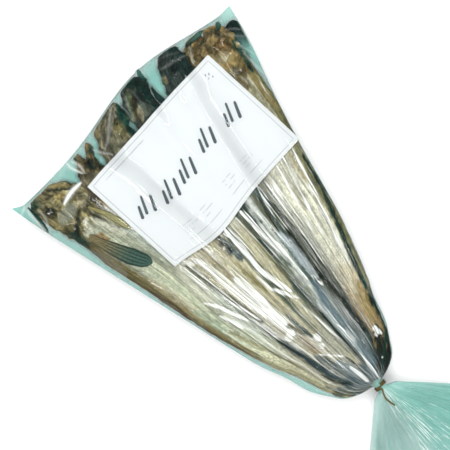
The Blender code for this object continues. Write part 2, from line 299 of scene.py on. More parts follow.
# Stripes and patches in the skin, a few of them painted shade and shadow: tone, half width in
# millimetres, strength, and the route, in millimetres from the knot and across the pack.
MARKS = (
    # the first fish: the painted shadow of a crumple in the film along its snout, its brow, cheek and
    # gill slit, the roots of its fins, its long flank
    # painted shadow: the first and third green strips stand for the shadow that a crumple in the film
    # casts along the snout
    ("green", 3.4, 1.0, ((442, -160), (410, -162))),
    ("green", 1.6, 0.9, ((410, -162), (384, -157))),
    ("green", 5.5, 0.85, ((443, -158), (433, -150))),
    ("ink", 0.9, 0.9, ((441, -131), (422, -108))),
    ("gold", 1.4, 0.8, ((445, -126), (425, -106))),
    ("gold", 4.5, 0.85, ((426, -125), (420, -118))),
    ("ink", 3.0, 0.9, ((398, -116), (380, -138))),
    ("spruce", 5.0, 0.95, ((383, -144), (360, -138))),
    ("tan", 5.0, 0.85, ((405, -112), (397, -110))),
    ("cream", 4.0, 0.9, ((382, -119), (364, -129))),
    ("straw", 2.9, 0.95, ((389, -107), (349, -94))),
    ("ink", 0.8, 0.9, ((386, -111), (349, -97))),
    ("cream", 3.2, 0.9, ((377, -113), (340, -97))),
    ("rust", 4.0, 0.9, ((360, -121), (348, -116))),
    ("spruce", 1.6, 0.9, ((359, -131), (324, -112))),
    ("dun", 6.0, 0.7, ((350, -140), (305, -130))),
    ("tan", 5.0, 0.6, ((280, -113), (191, -95))),
    ("brown", 1.4, 0.9, ((269, -123), (234, -112), (195, -111))),
    ("moss", 2.6, 0.7, ((264, -128), (203, -119))),
    ("cream", 8.0, 0.8, ((267, -77), (211, -76))),
    ("sage", 4.0, 0.7, ((217, -100), (174, -89))),
    ("olive", 1.6, 0.8, ((170, -86), (145, -77), (68, -49))),
    ("spruce", 4.0, 0.95, ((46, -46), (30, -39), (12, -18))),
    # the second: the tips of its jaws, the shadowed fold beside the first, its tail
    ("spruce", 4.0, 0.8, ((456, -68), (446, -68))),
    ("spruce", 3.0, 0.8, ((442, -58), (435, -60))),
    ("stone", 3.6, 0.95, ((262, -71), (242, -67), (152, -51))),
    ("tan", 3.6, 0.9, ((261, -45), (231, -39), (210, -43))),
    ("olive", 2.4, 0.8, ((242, -41), (231, -40))),
    ("steel", 4.5, 0.95, ((122, -51), (77, -40), (47, -36), (22, -21))),
    ("straw", 4.5, 0.9, ((98, -54), (55, -45), (36, -39))),
    ("ink", 1.0, 0.9, ((57, -42), (38, -36), (25, -23))),
    ("spruce", 3.5, 0.8, ((32, -50), (15, -32), (5, -12))),
    ("rust", 3.0, 0.9, ((109, -30), (79, -27))),
    ("steel", 6.0, 0.85, ((78, -32), (37, -20), (13, -13))),
    ("stone", 4.2, 0.9, ((130, -32), (102, -19))),
    ("slate", 5.0, 0.9, ((56, -18), (24, -9))),
    ("steel", 1.2, 0.9, ((139, -24), (99, -20))),
    # the third: its lip, cheek and brow, its striped flank
    ("green", 1.6, 0.95, ((468, -11), (460, 0))),
    ("stone", 3.0, 0.85, ((462, -13), (454, -33))),
    ("green", 5.0, 1.0, ((455, 1), (443, -4), (418, -10))),
    ("olive", 6.0, 0.7, ((443, -16), (421, -19))),
    ("gold", 1.8, 0.9, ((452, -37), (438, -50))),
    ("stone", 5.0, 0.85, ((428, -45), (417, -28))),
    ("dun", 3.0, 0.8, ((426, -57), (416, -59))),
    ("tan", 3.2, 0.9, ((265, -28), (225, -25))),
    ("olive", 2.4, 0.9, ((225, -25), (177, -22))),
    ("steel", 4.6, 0.95, ((270, -20), (222, -17))),
    ("ink", 2.4, 0.95, ((264, -21), (238, -19))),
    ("ink", 2.0, 0.7, ((264, -8), (237, -11))),
    ("straw", 3.0, 0.9, ((159, -3), (136, -2))),
    ("cream", 1.6, 0.8, ((144, -4), (103, 1), (53, 3))),
    ("straw", 2.2, 0.95, ((60, -4), (39, 0))),
    ("ink", 0.9, 0.9, ((54, -7), (31, -2))),
    # the fourth: its crown, the bare skin beside its jaw, its olive back
    ("pine", 5.0, 1.0, ((466, 26), (453, 36))),
    ("pine", 6.0, 1.0, ((451, 34), (426, 34))),
    ("moss", 2.6, 0.95, ((459, 20), (446, 12), (430, 5))),
    ("sage", 1.0, 0.8, ((456, 14), (428, 0))),
    ("brown", 1.4, 0.9, ((448, 18), (427, 6))),
    ("tan", 2.6, 0.9, ((435, 16), (422, 10))),
    ("straw", 5.2, 0.95, ((265, 7), (247, 7), (205, 1), (160, 2))),
    ("olive", 1.4, 0.7, ((258, 12), (234, 11), (166, 8))),
    ("stone", 1.5, 0.8, ((264, 17), (174, 15))),
    ("spruce", 1.7, 0.9, ((228, 13), (178, 19))),
    ("moss", 1.8, 0.8, ((198, 15), (127, 13))),
    # the fifth: the marks on its dark head, its silvery flank, the painted shade of the gap beyond it,
    # its tail
    ("olive", 1.4, 0.9, ((451, 64), (433, 57))),
    ("tan", 1.1, 0.95, ((441, 64), (434, 61))),
    ("spruce", 2.8, 0.95, ((272, 28), (247, 24), (239, 29))),
    ("stone", 2.8, 0.95, ((274, 43), (244, 40), (219, 36))),
    ("ink", 0.9, 0.9, ((263, 47), (220, 37))),
    ("olive", 1.0, 0.8, ((244, 50), (209, 45))),
    # painted shade: the next three ink strips darken the gap between the fifth fish and the sixth
    ("ink", 2.6, 1.0, ((213, 46), (200, 43), (171, 39))),
    ("ink", 2.4, 0.95, ((170, 38), (141, 34))),
    ("ink", 1.5, 0.8, ((158, 40), (103, 39))),
    ("ice", 4.5, 0.9, ((214, 35), (200, 37), (147, 33))),
    ("slate", 4.5, 0.9, ((147, 26), (118, 23))),
    # painted shade of the gap between the fifth fish and the sixth, continued towards the knot
    ("ink", 1.9, 1.0, ((153, 40), (100, 37), (62, 31))),
    ("slate", 4.0, 0.9, ((143, 26), (113, 18), (65, 19))),
    ("slate", 4.5, 0.9, ((65, 19), (42, 15), (9, 4))),
    # the sixth: its lip, the ring round its eye, its cheek and nape, its flank, its dark far edge
    ("straw", 1.3, 0.95, ((450, 110), (431, 99))),
    ("brown", 3.2, 0.85, ((445, 116), (432, 104))),
    ("brown", 0.9, 0.9, ((428, 131), (429, 138), (414, 147), (411, 140), (428, 131))),
    ("rust", 3.4, 0.9, ((425, 135), (418, 141))),
    ("gold", 5.5, 0.9, ((405, 136), (391, 138))),
    ("straw", 3.0, 0.9, ((413, 129), (405, 131))),
    ("brown", 3.5, 0.85, ((387, 134), (377, 134))),
    ("ink", 2.4, 0.9, ((442, 145), (435, 143))),
    ("green", 2.2, 1.0, ((419, 151), (376, 144))),
    ("olive", 13, 0.8, ((390, 122), (360, 122), (296, 112))),
    ("brown", 6.0, 0.7, ((380, 122), (366, 126))),
    ("gold", 3.2, 0.8, ((379, 139), (323, 136))),
    ("straw", 5.0, 0.9, ((277, 126), (223, 113))),
    ("olive", 2.6, 0.7, ((223, 113), (173, 92))),
    ("olive", 2.0, 0.8, ((173, 92), (115, 73))),
    ("tan", 2.6, 0.8, ((279, 108), (241, 102))),
    ("dun", 2.2, 0.8, ((236, 104), (167, 79))),
    ("dun", 1.5, 0.7, ((246, 87), (210, 76))),
    ("pine", 2.6, 1.0, ((264, 120), (217, 109), (179, 95), (122, 75), (96, 66))),
    ("gold", 4.0, 0.9, ((107, 64), (63, 46))),
    ("ink", 6.5, 1.0, ((52, 43), (23, 25), (14, 13))),
    ("ink", 4.2, 1.0, ((90, 64), (55, 58), (35, 47), (19, 31))),
    ("green", 1.8, 1.0, ((112, 73), (46, 53), (9, 11))),
)


def beside(route, u, v):
    """How far places are from a route, in millimetres, and the share of it at which they are."""
    route = np.array(route, float)
    spans = np.hypot(*np.diff(route, axis=0).T)
    passed = np.concatenate([[0], np.cumsum(spans)])
    nearest, share = np.full(u.shape, np.inf), np.zeros(u.shape)
    for start, end, span, before in zip(route[:-1], route[1:], spans, passed[:-1]):
        run = (end - start) / span
        on = np.clip((u - start[0]) * run[0] + (v - start[1]) * run[1], 0, span)
        away = np.hypot(u - start[0] - on * run[0], v - start[1] - on * run[1])
        share = np.where(away < nearest, (before + on) / passed[-1], share)
        nearest = np.minimum(nearest, away)
    return nearest, share


def uneven(places, scale, seed):
    """Natural-looking unevenness, about -0.7 to 0.7, with scale bumps in a metre."""
    return np.array([noise.noise(Vector(place)) for place in places * scale + seed])


def spine(fish, along):
    """The middle of a fish, in the frame, at a share of its length from the snout."""
    from_knot = fish.snout - along * (fish.snout - fish.tail_end)
    share = 0
    for shift in ROUNDING:
        share = share + np.interp(along + shift, FISH_AT, fish.shares) / len(ROUNDING)
    roll = math.radians(fish.roll)
    depth, breadth = girth(fish, along)
    reach = np.hypot(depth * math.sin(roll), breadth * math.cos(roll)) + BESIDE_FILM
    width = half_width(from_knot, share)
    y = np.clip(share * width, reach - width, width - reach)
    y = np.where(reach > width, share * width * 0.5, y)
    level = 0.5 + (fish.level - 0.5) * smooth_step(from_knot / 0.12)
    z = thickness(from_knot) * level
    z = z + (NECK_HEIGHT - z) * (1 - smooth_step(from_knot / DRAWN_IN))
    return np.stack([KNOT_X - from_knot, y, z + 0 * y], axis=-1)


def girth(fish, along):
    """Half sizes at a share of a fish's length, back to belly and side to side."""
    rounded = (1 - (1 - np.clip(along / ROUND_SNOUT, 0, 1)) ** 3) ** 0.42
    pointed = np.clip(along / POINTED_SNOUT, 0, 1) ** 0.62
    head = np.maximum(fish.blunt * rounded + (1 - fish.blunt) * pointed, 0.04)
    depth = fish.depth * head * np.interp(along, GIRTH_AT, DEPTH_SHARE)
    breadth = fish.breadth * head**0.8 * np.interp(along, GIRTH_AT, BREADTH_SHARE)
    near_knot = fish.snout - along * (fish.snout - fish.tail_end)
    room = ROOM_AT_KNOT + ROOM_GAIN * near_knot
    return np.minimum(depth, room), np.minimum(breadth, 0.6 * room)


def axes(fish, along):
    """A fish's own directions at a place along it: on towards the tail, to its back, to its side."""
    step = 0.004
    run = spine(fish, np.clip(along + step, 0, 1)) - spine(fish, np.clip(along - step, 0, 1))
    run[:, 2] = 0
    if fish.blunt == 1:  # its head is cut square to the pack
        run[:, 1] *= smooth_step(along / 0.12)
    run /= np.linalg.norm(run, axis=1, keepdims=True)
    aside = np.stack([-run[:, 1], run[:, 0], 0 * along], axis=1)
    roll = math.radians(fish.roll)
    backward = math.cos(roll) * np.array((0, 0, 1.0)) + math.sin(roll) * aside
    return run, backward, np.cross(run, backward)


def paint_skin(item, colour):
    """Store a colour on each vertex."""
    paint = np.ones((len(colour), 4))
    paint[:, :3] = colour
    item.data.color_attributes.new("skin", "FLOAT_COLOR", "POINT")
    item.data.color_attributes["skin"].data.foreach_set("color", paint.ravel())


def blend(colour, tone, amount):
    """Move each vertex's colour towards a tone by an amount of its own, 0 to 1."""
    colour += (tone - colour) * amount[:, None]


def shade(colour, factor):
    colour *= factor[:, None]


def keep_in_bag(places):
    """Press what would stand out of the bag back in to its closed end, its sides and its floor."""
    from_knot = np.minimum(KNOT_X - places[:, 0], end_distance(places[:, 1]) - END_GAP)
    places[:, 0] = KNOT_X - from_knot
    inside = half_width(from_knot, places[:, 1]) - SIDE_GAP
    places[:, 1] = np.clip(places[:, 1], -inside, inside)
    places[:, 2] = np.maximum(places[:, 2], FLOOR_GAP)


def paint_marks(colour, places, facing_up, specks):
    """Blend the stripes and patches in to the skin's upper side, their edges broken by its specks."""
    u, v = (KNOT_X - places[:, 0]) * 1000, places[:, 1] * 1000
    for tone, wide, strength, route in MARKS:
        away, share = beside(route, u, v)
        taper = 0.45 + 0.55 * np.sqrt(np.clip(4 * share * (1 - share), 0, 1))
        away = away + wide * 0.7 * specks
        amount = facing_up * strength * np.exp(-((away / (wide * taper + 0.6)) ** 4))
        blend(colour, srgb(*TONES[tone]), amount)


def shape_fish(fish, number):
    random = np.random.default_rng(40 + number)
    body, along, around_share = add_sheet(fish.name, FISH_ROWS, FISH_COLUMNS)
    along = along**1.25  # closer rows on the head
    around = (around_share - 0.5) * 2 * math.pi  # 0 on the back, a half turn on the belly
    up, out = np.cos(around), np.sin(around)
    middle = spine(fish, along)
    run, backward, sideways = axes(fish, along)
    depth, breadth = girth(fish, along)
    back = along * (fish.snout - fish.tail_end)  # metres behind the snout
    behind_head = smooth_step((back - GILL_BACK) / 0.010)
    towards_tail = smooth_step((along - 0.5) / 0.4)
    high = up * depth
    flank = smooth_step(np.abs(out) * 1.6 - 0.5)

    # the skin, shrunk between the ribs and along the belly
    creases = ripples(along, around, random, (4, 7, 10, 14), 1.3)
    fine = ripples(along * 2, around, random, (21, 29, 37), 2.2)
    puckers = ripples(around / 6, along * 70, random, (1.0, 1.7, 2.3), 2.5)
    relief = CREASE * creases + FINE_CREASE * fine
    relief -= SHRUNK_CREASE * (1 - np.clip(np.abs(creases), 0, 1)) ** 4 * behind_head
    relief += PUCKER * puckers * (1 - 0.6 * towards_tail)

    # the head: gill cover, cheek, eye socket and mouth
    rim = GILL_BACK - 0.008 * up**2 + 0.002 * np.sin(3 * around)
    relief += GILL_RIM * (1 - smooth_step((back - rim) / 0.0022))
    relief -= GILL_SLIT * blob(back - rim - 0.004, 0, 0.003, 1)
    wrinkles = np.sin(high * 560 + 2.2 * np.sin(back * 150 + number) + 40 * back)
    wrinkled = (1 - behind_head) * smooth_step(back / 0.01)
    relief += WRINKLE * (1 - np.abs(wrinkles)) * wrinkled
    from_eye = np.hypot(back - EYE_BACK, high - EYE_UP * depth)
    relief -= SOCKET * flank * np.exp(-((from_eye / EYE_RADIUS) ** 4))
    relief += SOCKET_RIM * flank * np.exp(-(((from_eye - EYE_RADIUS * 1.25) / 0.0016) ** 2))
    along_cheek = (back - CHEEK_BACK) / CHEEK_HALF_LENGTH
    cheek = np.hypot(along_cheek, (high - CHEEK_UP * depth) / CHEEK_HALF_HEIGHT)  # 1 at its rim
    relief += flank * CHEEK_RIM * np.exp(-(((cheek - 1) / 0.14) ** 2))
    on_cheek = 1 - smooth_step((cheek - 0.7) / 0.3)  # where the cheek is smoother
    relief -= flank * WRINKLE * on_cheek * (1 - np.abs(wrinkles))
    smooth_cheek = flank * (1 - smooth_step((cheek - 0.75) / 0.25))
    bare_cheek = BARE_CHEEK.get(fish.look, SOME_CHEEK)
    wrinkled = wrinkled * (1 - bare_cheek * smooth_cheek)
    rough = np.stack([back, high, out * breadth], axis=1)
    lumps = uneven(rough, 120, number)
    folds_of_skin = 1 - np.clip(np.abs(uneven(rough * (1, 1.6, 1), 170, 30 + number)) * 5, 0, 1)
    relief += (LUMP * lumps - SKIN_FOLD * folds_of_skin) * wrinkled
    specks = uneven(rough * (0.35, 1, 1), 420, 60 + number)
    relief += SPECK * specks * behind_head
    relief *= np.clip(depth / 0.010, 0.25, 1)

    lips = 1 - smooth_step(back / MOUTH_BACK)
    parting = np.exp(-(((up + 0.15) / 0.24) ** 2)) * lips
    inward = parting * MOUTH_BACK * (0.10 + 0.90 * fish.gape)
    opened = np.sign(up + 0.15) * (1 - np.exp(-(((up + 0.15) / 0.3) ** 2))) * lips
    swell_up = np.sign(up) * np.abs(up) ** 0.92
    swell_out = np.sign(out) * np.abs(out) ** 0.86
    places = (
        middle
        + backward * ((depth + relief) * swell_up + opened * JAW_DROP * fish.gape)[:, None]
        + sideways * ((breadth + relief) * swell_out)[:, None]
        + run * inward[:, None]
    )
    keep_in_bag(places)
    set_places(body, places)

    # its colours, from the back and belly to the marks of its own, with painted shade in its furrows,
    # creases, skin folds and open mouth and painted light and shade on its lumps
    look = LOOKS[fish.look]
    mottle = 0.5 + 0.5 * np.sin(3 * ripples(along * 3, around, random, (3, 5, 7), 2.5))
    on_back = smooth_step((up - 0.50 + 0.12 * creases) / 0.30)
    on_belly = smooth_step((-up - 0.25 + 0.10 * creases) / 0.30)
    on_tail = smooth_step((along - 0.70 + 0.05 * mottle) / 0.18)
    on_fin = smooth_step((along - 0.93 + 0.01 * creases) / 0.03)
    colour = np.tile(srgb(*look.flank), (len(along), 1))
    blend(colour, srgb(*look.belly), on_belly)
    blend(colour, srgb(*look.tail), on_tail * 0.85)
    blend(colour, srgb(*look.back), on_back * (1 - 0.6 * on_tail))
    head_tone = srgb(*look.head) * (0.6 + 0.9 * mottle[:, None])
    blend(colour, head_tone, (1 - behind_head) * 0.92)
    blend(colour, srgb(*look.fin), on_fin)
    gill = blob(back - rim + 0.004, 0, 0.006, 1) * (1 - 0.4 * mottle)
    shade(colour, 1 - 0.62 * gill)
    # painted shade in the furrows between the head's wrinkles
    painted_furrow_shade = smooth_step((np.abs(wrinkles) - 0.80) / 0.2) * wrinkled
    shade(colour, 1 - 0.55 * painted_furrow_shade * (1 - smooth_step((1.1 - cheek) / 0.2)))
    # painted shade in the sunk creases of the body, the rest a little lighter
    painted_crease_shade = smooth_step((1 - np.abs(creases) * 2.2)) * behind_head
    shade(colour, 1.08 - 0.42 * painted_crease_shade)
    grey_cheek = srgb(*CHEEK_GREY) * (0.85 + 0.3 * mottle[:, None])
    blend(colour, grey_cheek, bare_cheek * smooth_cheek)
    ring = np.exp(-(((from_eye - EYE_RADIUS) / 0.0020) ** 2)) * flank
    shade(colour, 1 - 0.75 * ring)
    in_eye = flank * (1 - smooth_step((from_eye - EYE_RADIUS * 0.75) / 0.0015))
    blend(colour, srgb(*look.eye), in_eye)
    # painted shade inside the open mouth
    shade(colour, 1 - 0.8 * parting)
    facing_up = smooth_step((places[:, 2] - middle[:, 2]) / 0.004 + 0.5)
    paint_marks(colour, places, facing_up, specks)
    # painted shade in the sunk folds of skin on the head
    shade(colour, 1 - 0.55 * folds_of_skin * wrinkled)
    # painted light and shade on the head's lumps, lighter where they stand out, and a speckled grain
    shade(colour, 1 + 0.7 * lumps * wrinkled + 0.35 * specks)
    paint_skin(body, np.clip(colour, 0.002, 1))
    merge_and_face_out(body)
    bpy.ops.object.shade_smooth()
    return body


def feed(made, node, socket, value):
    """Set a node's socket to a value, or join it to another node's output."""
    if isinstance(value, bpy.types.NodeSocket):
        made.node_tree.links.new(value, node.inputs[socket])
    else:
        node.inputs[socket].default_value = value


def add_node(made, kind, sockets):
    """A node of a kind, its sockets set as given."""
    node = made.node_tree.nodes.new("ShaderNode" + kind)
    for socket, value in sockets.items():
        feed(made, node, socket, value)
    return node


def new_finish(name, sockets):
    """A material and its main shader, with the sockets given."""
    made = bpy.data.materials.new(name)
    made.use_nodes = True
    shader = made.node_tree.nodes["Principled BSDF"]
    for socket, value in sockets.items():
        feed(made, shader, socket, value)
    return made, shader


def stored(made, name, part="Fac"):
    """What was stored on the vertices under a name."""
    node = add_node(made, "Attribute", {})
    node.attribute_name = name
    return node.outputs[part]


def lengthwise_noise(made, along, across, detail, roughness):
    """Noise drawn out along a piece, by how many bumps lie along and across it."""
    place = add_node(made, "UVMap", {})
    spread = {"Vector": place.outputs["UV"], "Scale": (along, across, 1)}
    stretched = add_node(made, "Mapping", spread).outputs["Vector"]
    grain = {"Vector": stretched, "Scale": 1, "Detail": detail, "Roughness": roughness}
    return add_node(made, "TexNoise", grain).outputs["Fac"]


def stretched_to(made, value, low, high, new_low, new_high):
    """A value's span from low to high, stretched to a new one."""
    span = {"From Min": low, "From Max": high, "To Min": new_low, "To Max": new_high}
    return add_node(made, "MapRange", {"Value": value, **span}).outputs["Result"]


def worked_out(made, operation, first, second):
    """A sum on two values, each a number or another node's output."""
    step = add_node(made, "Math", {0: first, 1: second})
    step.operation = operation
    return step.outputs["Value"]


def scaled(made, colour, amount):
    scaling = add_node(made, "VectorMath", {0: colour})
    scaling.operation = "SCALE"
    feed(made, scaling, "Scale", amount)
    return scaling.outputs["Vector"]


def skin_material():
    """Dried skin: its colour is painted on the fish, streaked along the body and grained."""
    made, shader = new_finish("dried_skin", {"Roughness": 0.50, "Specular IOR Level": 0.10})
    streaks = lengthwise_noise(made, 6, 80, 7, 0.68)
    place = add_node(made, "TexCoord", {}).outputs["Object"]
    fine_grain = {"Vector": place, "Scale": 480, "Detail": 4, "Roughness": 0.7}
    grains = add_node(made, "TexNoise", fine_grain).outputs["Fac"]
    streaks = stretched_to(made, streaks, 0.34, 0.66, 0.50, 1.35)
    grains = stretched_to(made, grains, 0.36, 0.60, 0.62, 1.15)
    both = worked_out(made, "MULTIPLY", streaks, grains)
    feed(made, shader, "Base Color", scaled(made, stored(made, "skin", "Color"), both))
    bump = add_node(made, "Bump", {"Strength": 0.5, "Distance": 0.0010, "Height": both})
    feed(made, shader, "Normal", bump.outputs["Normal"])
    return made


dried_skin = skin_material()
fish_bodies = []
for number, fish in enumerate(FISH):
    body = shape_fish(fish, number)
    body.data.materials.append(dried_skin)
    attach(body, "root")
    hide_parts("bag")
    fish_bodies.append(body)

# ---------------------------------------------------------------------------------------------
# The fins that lie loose on the fish: thin dried leaves, ribbed from root to tip, that have stuck to
# the flank beside them. One more dark strip among them is painted shadow along the first fish's snout.


def tree_of(items):
    """One search tree over the faces of several pieces."""
    corners, faces = [], []
    for item in items:
        start = len(corners)
        corners += [vertex.co.copy() for vertex in item.data.vertices]
        faces += [[start + corner for corner in face.vertices] for face in item.data.polygons]
    return BVHTree.FromPolygons(corners, faces)


def heights_over(tree, x, y, way=-1):
    """The level at which a line straight down, or straight up, first meets the tree; else NaN."""
    found = np.full(x.shape, np.nan)
    begin = 0.3 if way < 0 else -0.1
    for index in np.ndindex(x.shape):
        hit = tree.ray_cast(Vector((x[index], y[index], begin)), Vector((0, 0, way)))
        if hit[0] is not None:
            found[index] = hit[0].z
    return found


# Each fin's root and tip, from the knot and across the pack, its half width and how far it bends
# aside, in millimetres, and its colours at root and tip.
Fin = namedtuple("Fin", "name root tip half_width bend root_colour tip_colour")
FINS = (
    Fin("fin_1", (366, -130), (292, -97), 10.2, 3.0, (128, 116, 82), (66, 92, 82)),
    Fin("fin_2", (392, -107), (340, -88), 4.2, -2.0, (140, 132, 84), (158, 156, 112)),
    Fin("fin_3", (444, 44), (420, 44), 3.6, 2.0, (14, 40, 34), (30, 58, 52)),
    Fin("fin_4", (453, 46), (470, 46), 3.0, -2.0, (20, 50, 44), (60, 110, 100)),
    Fin("fin_5", (438, 145), (447, 154), 3.4, 1.0, (28, 44, 32), (58, 92, 80)),
    # painted shadow: not a fin, but a dark strip where a crumple in the film casts its shadow along the
    # first fish's snout
    Fin("snout_shadow_strip", (441, -160), (402, -163), 2.6, -1.0, (0, 50, 40), (8, 76, 64)),
    Fin("fin_7", (452, 107), (452, 134), 3.2, 0.6, (36, 60, 50), (76, 110, 98)),
)
FIN_ROWS, FIN_COLUMNS, FIN_THICKNESS = 44, 48, 0.0005
FIN_AT = (0, 0.15, 0.40, 0.68, 0.88, 0.96, 1)
FIN_OUTLINE = (0.34, 0.50, 0.80, 1, 0.84, 0.5, 0.1)  # its width at those shares of its length
LIFT_OFF_SKIN, CUPPING, RIB_HEIGHT = 0.0006, 0.0008, 0.00035
PAST_SKIN = 0.004  # how far below the rest a fin is where no fish lies under it

fish_tree = tree_of(fish_bodies)
for fin in FINS:
    leaf, along, across = add_sheet(fin.name, FIN_ROWS, FIN_COLUMNS)
    root, tip = np.array(fin.root) / 1000, np.array(fin.tip) / 1000
    run = tip - root
    reach = float(np.hypot(*run))
    normal = np.array((-run[1], run[0])) / reach
    outline = np.interp(along, FIN_AT, FIN_OUTLINE)
    side = across * 2 - 1
    ribs = np.abs(np.sin(side * 7.5 + 0.5 * np.sin(along * 5)))
    aside = side * outline * fin.half_width / 1000
    aside = aside + fin.bend / 1000 * np.sin(math.pi * along)
    spot = root + run * along[:, None] + normal * aside[:, None]
    x, y = KNOT_X - spot[:, 0], spot[:, 1]
    level = heights_over(fish_tree, x, y)
    bare = np.isnan(level)
    level[bare] = FISH_LEVEL if bare.all() else np.nanmean(level) - PAST_SKIN
    slope = np.stack([along, side, along**2, np.ones(len(x))], axis=1)
    stiff = slope @ np.linalg.lstsq(slope, level, rcond=None)[0]
    stiff += float(np.max(level - stiff)) * 0.55 + LIFT_OFF_SKIN
    z = stiff + CUPPING * side**2 + RIB_HEIGHT * ribs
    set_places(leaf, np.stack([x, y, z], axis=1))
    colour = np.tile(srgb(*fin.root_colour), (len(along), 1))
    blend(colour, srgb(*fin.tip_colour), smooth_step(along * 1.3))
    shade(colour, (0.30 + 1.10 * ribs) * (1 - 0.5 * np.abs(side) ** 5))
    paint_skin(leaf, colour)
    bpy.ops.object.modifier_add(type="SOLIDIFY")
    leaf.modifiers["Solidify"].thickness = FIN_THICKNESS
    bpy.ops.object.modifier_apply(modifier="Solidify")
    bpy.ops.object.shade_smooth_by_angle(angle=math.radians(50))
    leaf.data.materials.append(dried_skin)
    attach(leaf, "root")
    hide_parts("bag")
    fish_bodies.append(leaf)

# ---------------------------------------------------------------------------------------------
# The eyes. Hard dark beads, dried on to the fish and sunk in their sockets, one on the upper cheek
# of each fish that shows it.

EYES = ((0, 0.0042), (2, 0.0026))  # which fish, and the bead's radius
EYE_SEAT = 0.80  # how far out in the head, as a share of its breadth
EYE_SUNK, EYE_FLATNESS = 0.0006, 0.7
eye_bead = new_finish("eye_bead", {"Base Color": (*srgb(44, 40, 30), 1), "Roughness": 0.18})[0]
for number, size in EYES:
    fish = FISH[number]
    along = np.array([EYE_BACK / (fish.snout - fish.tail_end)])
    run, backward, sideways = axes(fish, along)
    depth, breadth = girth(fish, along)
    outward = sideways * np.sign(sideways[:, 2:3])
    seat = spine(fish, along) + backward * depth * EYE_UP + outward * (breadth * EYE_SEAT - EYE_SUNK)
    bpy.ops.mesh.primitive_uv_sphere_add(segments=28, ring_count=16, radius=size)
    eye = bpy.context.object
    eye.name = eye.data.name = f"eye_{number + 1}"
    set_places(eye, vertex_places(eye) * (1, 1, EYE_FLATNESS) + seat[0])
    bpy.ops.object.shade_smooth()
    eye.data.materials.append(eye_bead)
    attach(eye, "root")
    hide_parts("bag")
    fish_bodies.append(eye)

# ---------------------------------------------------------------------------------------------
# The card. A smooth white A5 sheet slipped in over the fish. It bends softly over the ridges below
# and has a thin printed frame, small print along its sides and five groups of slanted bars.

CARD_WIDTH, CARD_LENGTH, CARD_THICKNESS = 0.210, 0.148, 0.00045
CARD_FROM_KNOT, CARD_ACROSS, CARD_TURN = 0.3457, 0.0190, math.radians(4.4)
CARD_ROWS, CARD_COLUMNS = 84, 120
CARD_DROP, CARD_SAG = 0.060, 0.00004  # the level it sinks from, and how far at each turn
CARD_GAP, LEAST_CARD_GAP = 0.0008, 0.0004  # over the fish
SINKING_TURNS, STIFFENING_TURNS, SMOOTHING_TURNS = 900, 40, 12
TAIL_BOW, TAIL_DIP, HEAD_DIP, HEAD_SHIFT = 0.0068, 0.0070, 0.0010, 0.0020


def widest(grid, pick=np.fmax, reach=1):
    """Each value of a grid replaced by the greatest, or least, of those around it."""
    for axis in (0, 1):
        padded = np.concatenate(
            [grid.take([0] * reach, axis), grid, grid.take([-1] * reach, axis)], axis
        )
        size = grid.shape[axis]
        parts = [padded.take(range(k, k + size), axis) for k in range(2 * reach + 1)]
        grid = pick.reduce(parts)
    return grid


def mean_around(grid):
    padded = np.pad(grid, 1, mode="edge")
    sides = padded[:-2, 1:-1] + padded[2:, 1:-1] + padded[1:-1, :-2] + padded[1:-1, 2:]
    return sides / 4


def as_grid(values, along, across, rows, columns):
    """Values of a sheet's vertices laid out by row and column, and how to lay them back."""
    order = np.rint(along * rows).astype(int), np.rint(across * columns).astype(int)
    grid = np.zeros((rows + 1, columns + 1))
    grid[order] = values
    return grid, order


def card_point(across, length):
    """A place on the card, in the frame. Its sides that face heads and tails are a little bowed."""
    share = across / CARD_WIDTH + 0.5
    to_tails = length / CARD_LENGTH + 0.5
    two_dips = blob(share - 0.13, 0, 0.10, 1) + blob(share - 0.66, 0, 0.13, 1)
    bow = TAIL_BOW * blob(share - 0.33, 0, 0.20, 1) * to_tails**2
    bow -= HEAD_DIP * two_dips * (1 - to_tails)
    bow -= TAIL_DIP * blob(share, 0, 0.16, 1) * to_tails
    bow += HEAD_SHIFT * (1 - to_tails)
    length = length + bow
    x = KNOT_X - CARD_FROM_KNOT + length * math.cos(CARD_TURN) - across * math.sin(CARD_TURN)
    return x, CARD_ACROSS + length * math.sin(CARD_TURN) + across * math.cos(CARD_TURN)


card, along, across = add_sheet("card", CARD_ROWS, CARD_COLUMNS)
x, y = card_point((across - 0.5) * CARD_WIDTH, (along - 0.5) * CARD_LENGTH)
card_x, order = as_grid(x, along, across, CARD_ROWS, CARD_COLUMNS)
card_y, order = as_grid(y, along, across, CARD_ROWS, CARD_COLUMNS)
under_card = heights_over(tree_of(fish_bodies), card_x, card_y)
under_card = np.nan_to_num(under_card, nan=0.0)
card_z = np.full(card_x.shape, CARD_DROP)
for turn in range(SINKING_TURNS):
    card_z = np.maximum(mean_around(card_z) - CARD_SAG, under_card + CARD_GAP)
for turn in range(STIFFENING_TURNS):  # paper leaves the smallest hollows empty
    card_z = np.maximum(mean_around(mean_around(card_z)), card_z)
for turn in range(SMOOTHING_TURNS):
    card_z = mean_around(card_z)
card_z += max(0, float(np.max(under_card + LEAST_CARD_GAP - card_z)))
set_places(card, np.stack([x, y, card_z[order]], axis=1))

bpy.ops.object.modifier_add(type="SOLIDIFY")
card.modifiers["Solidify"].thickness = CARD_THICKNESS
card.modifiers["Solidify"].offset = -1
bpy.ops.object.modifier_apply(modifier="Solidify")
bpy.ops.object.shade_smooth_by_angle(angle=math.radians(50))
matt_white = {"Base Color": (0.630, 0.655, 0.660, 1), "Roughness": 0.55, "Specular IOR Level": 0.2}
card.data.materials.append(new_finish("white_paper", matt_white)[0])
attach(card, "root")
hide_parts("label_card")


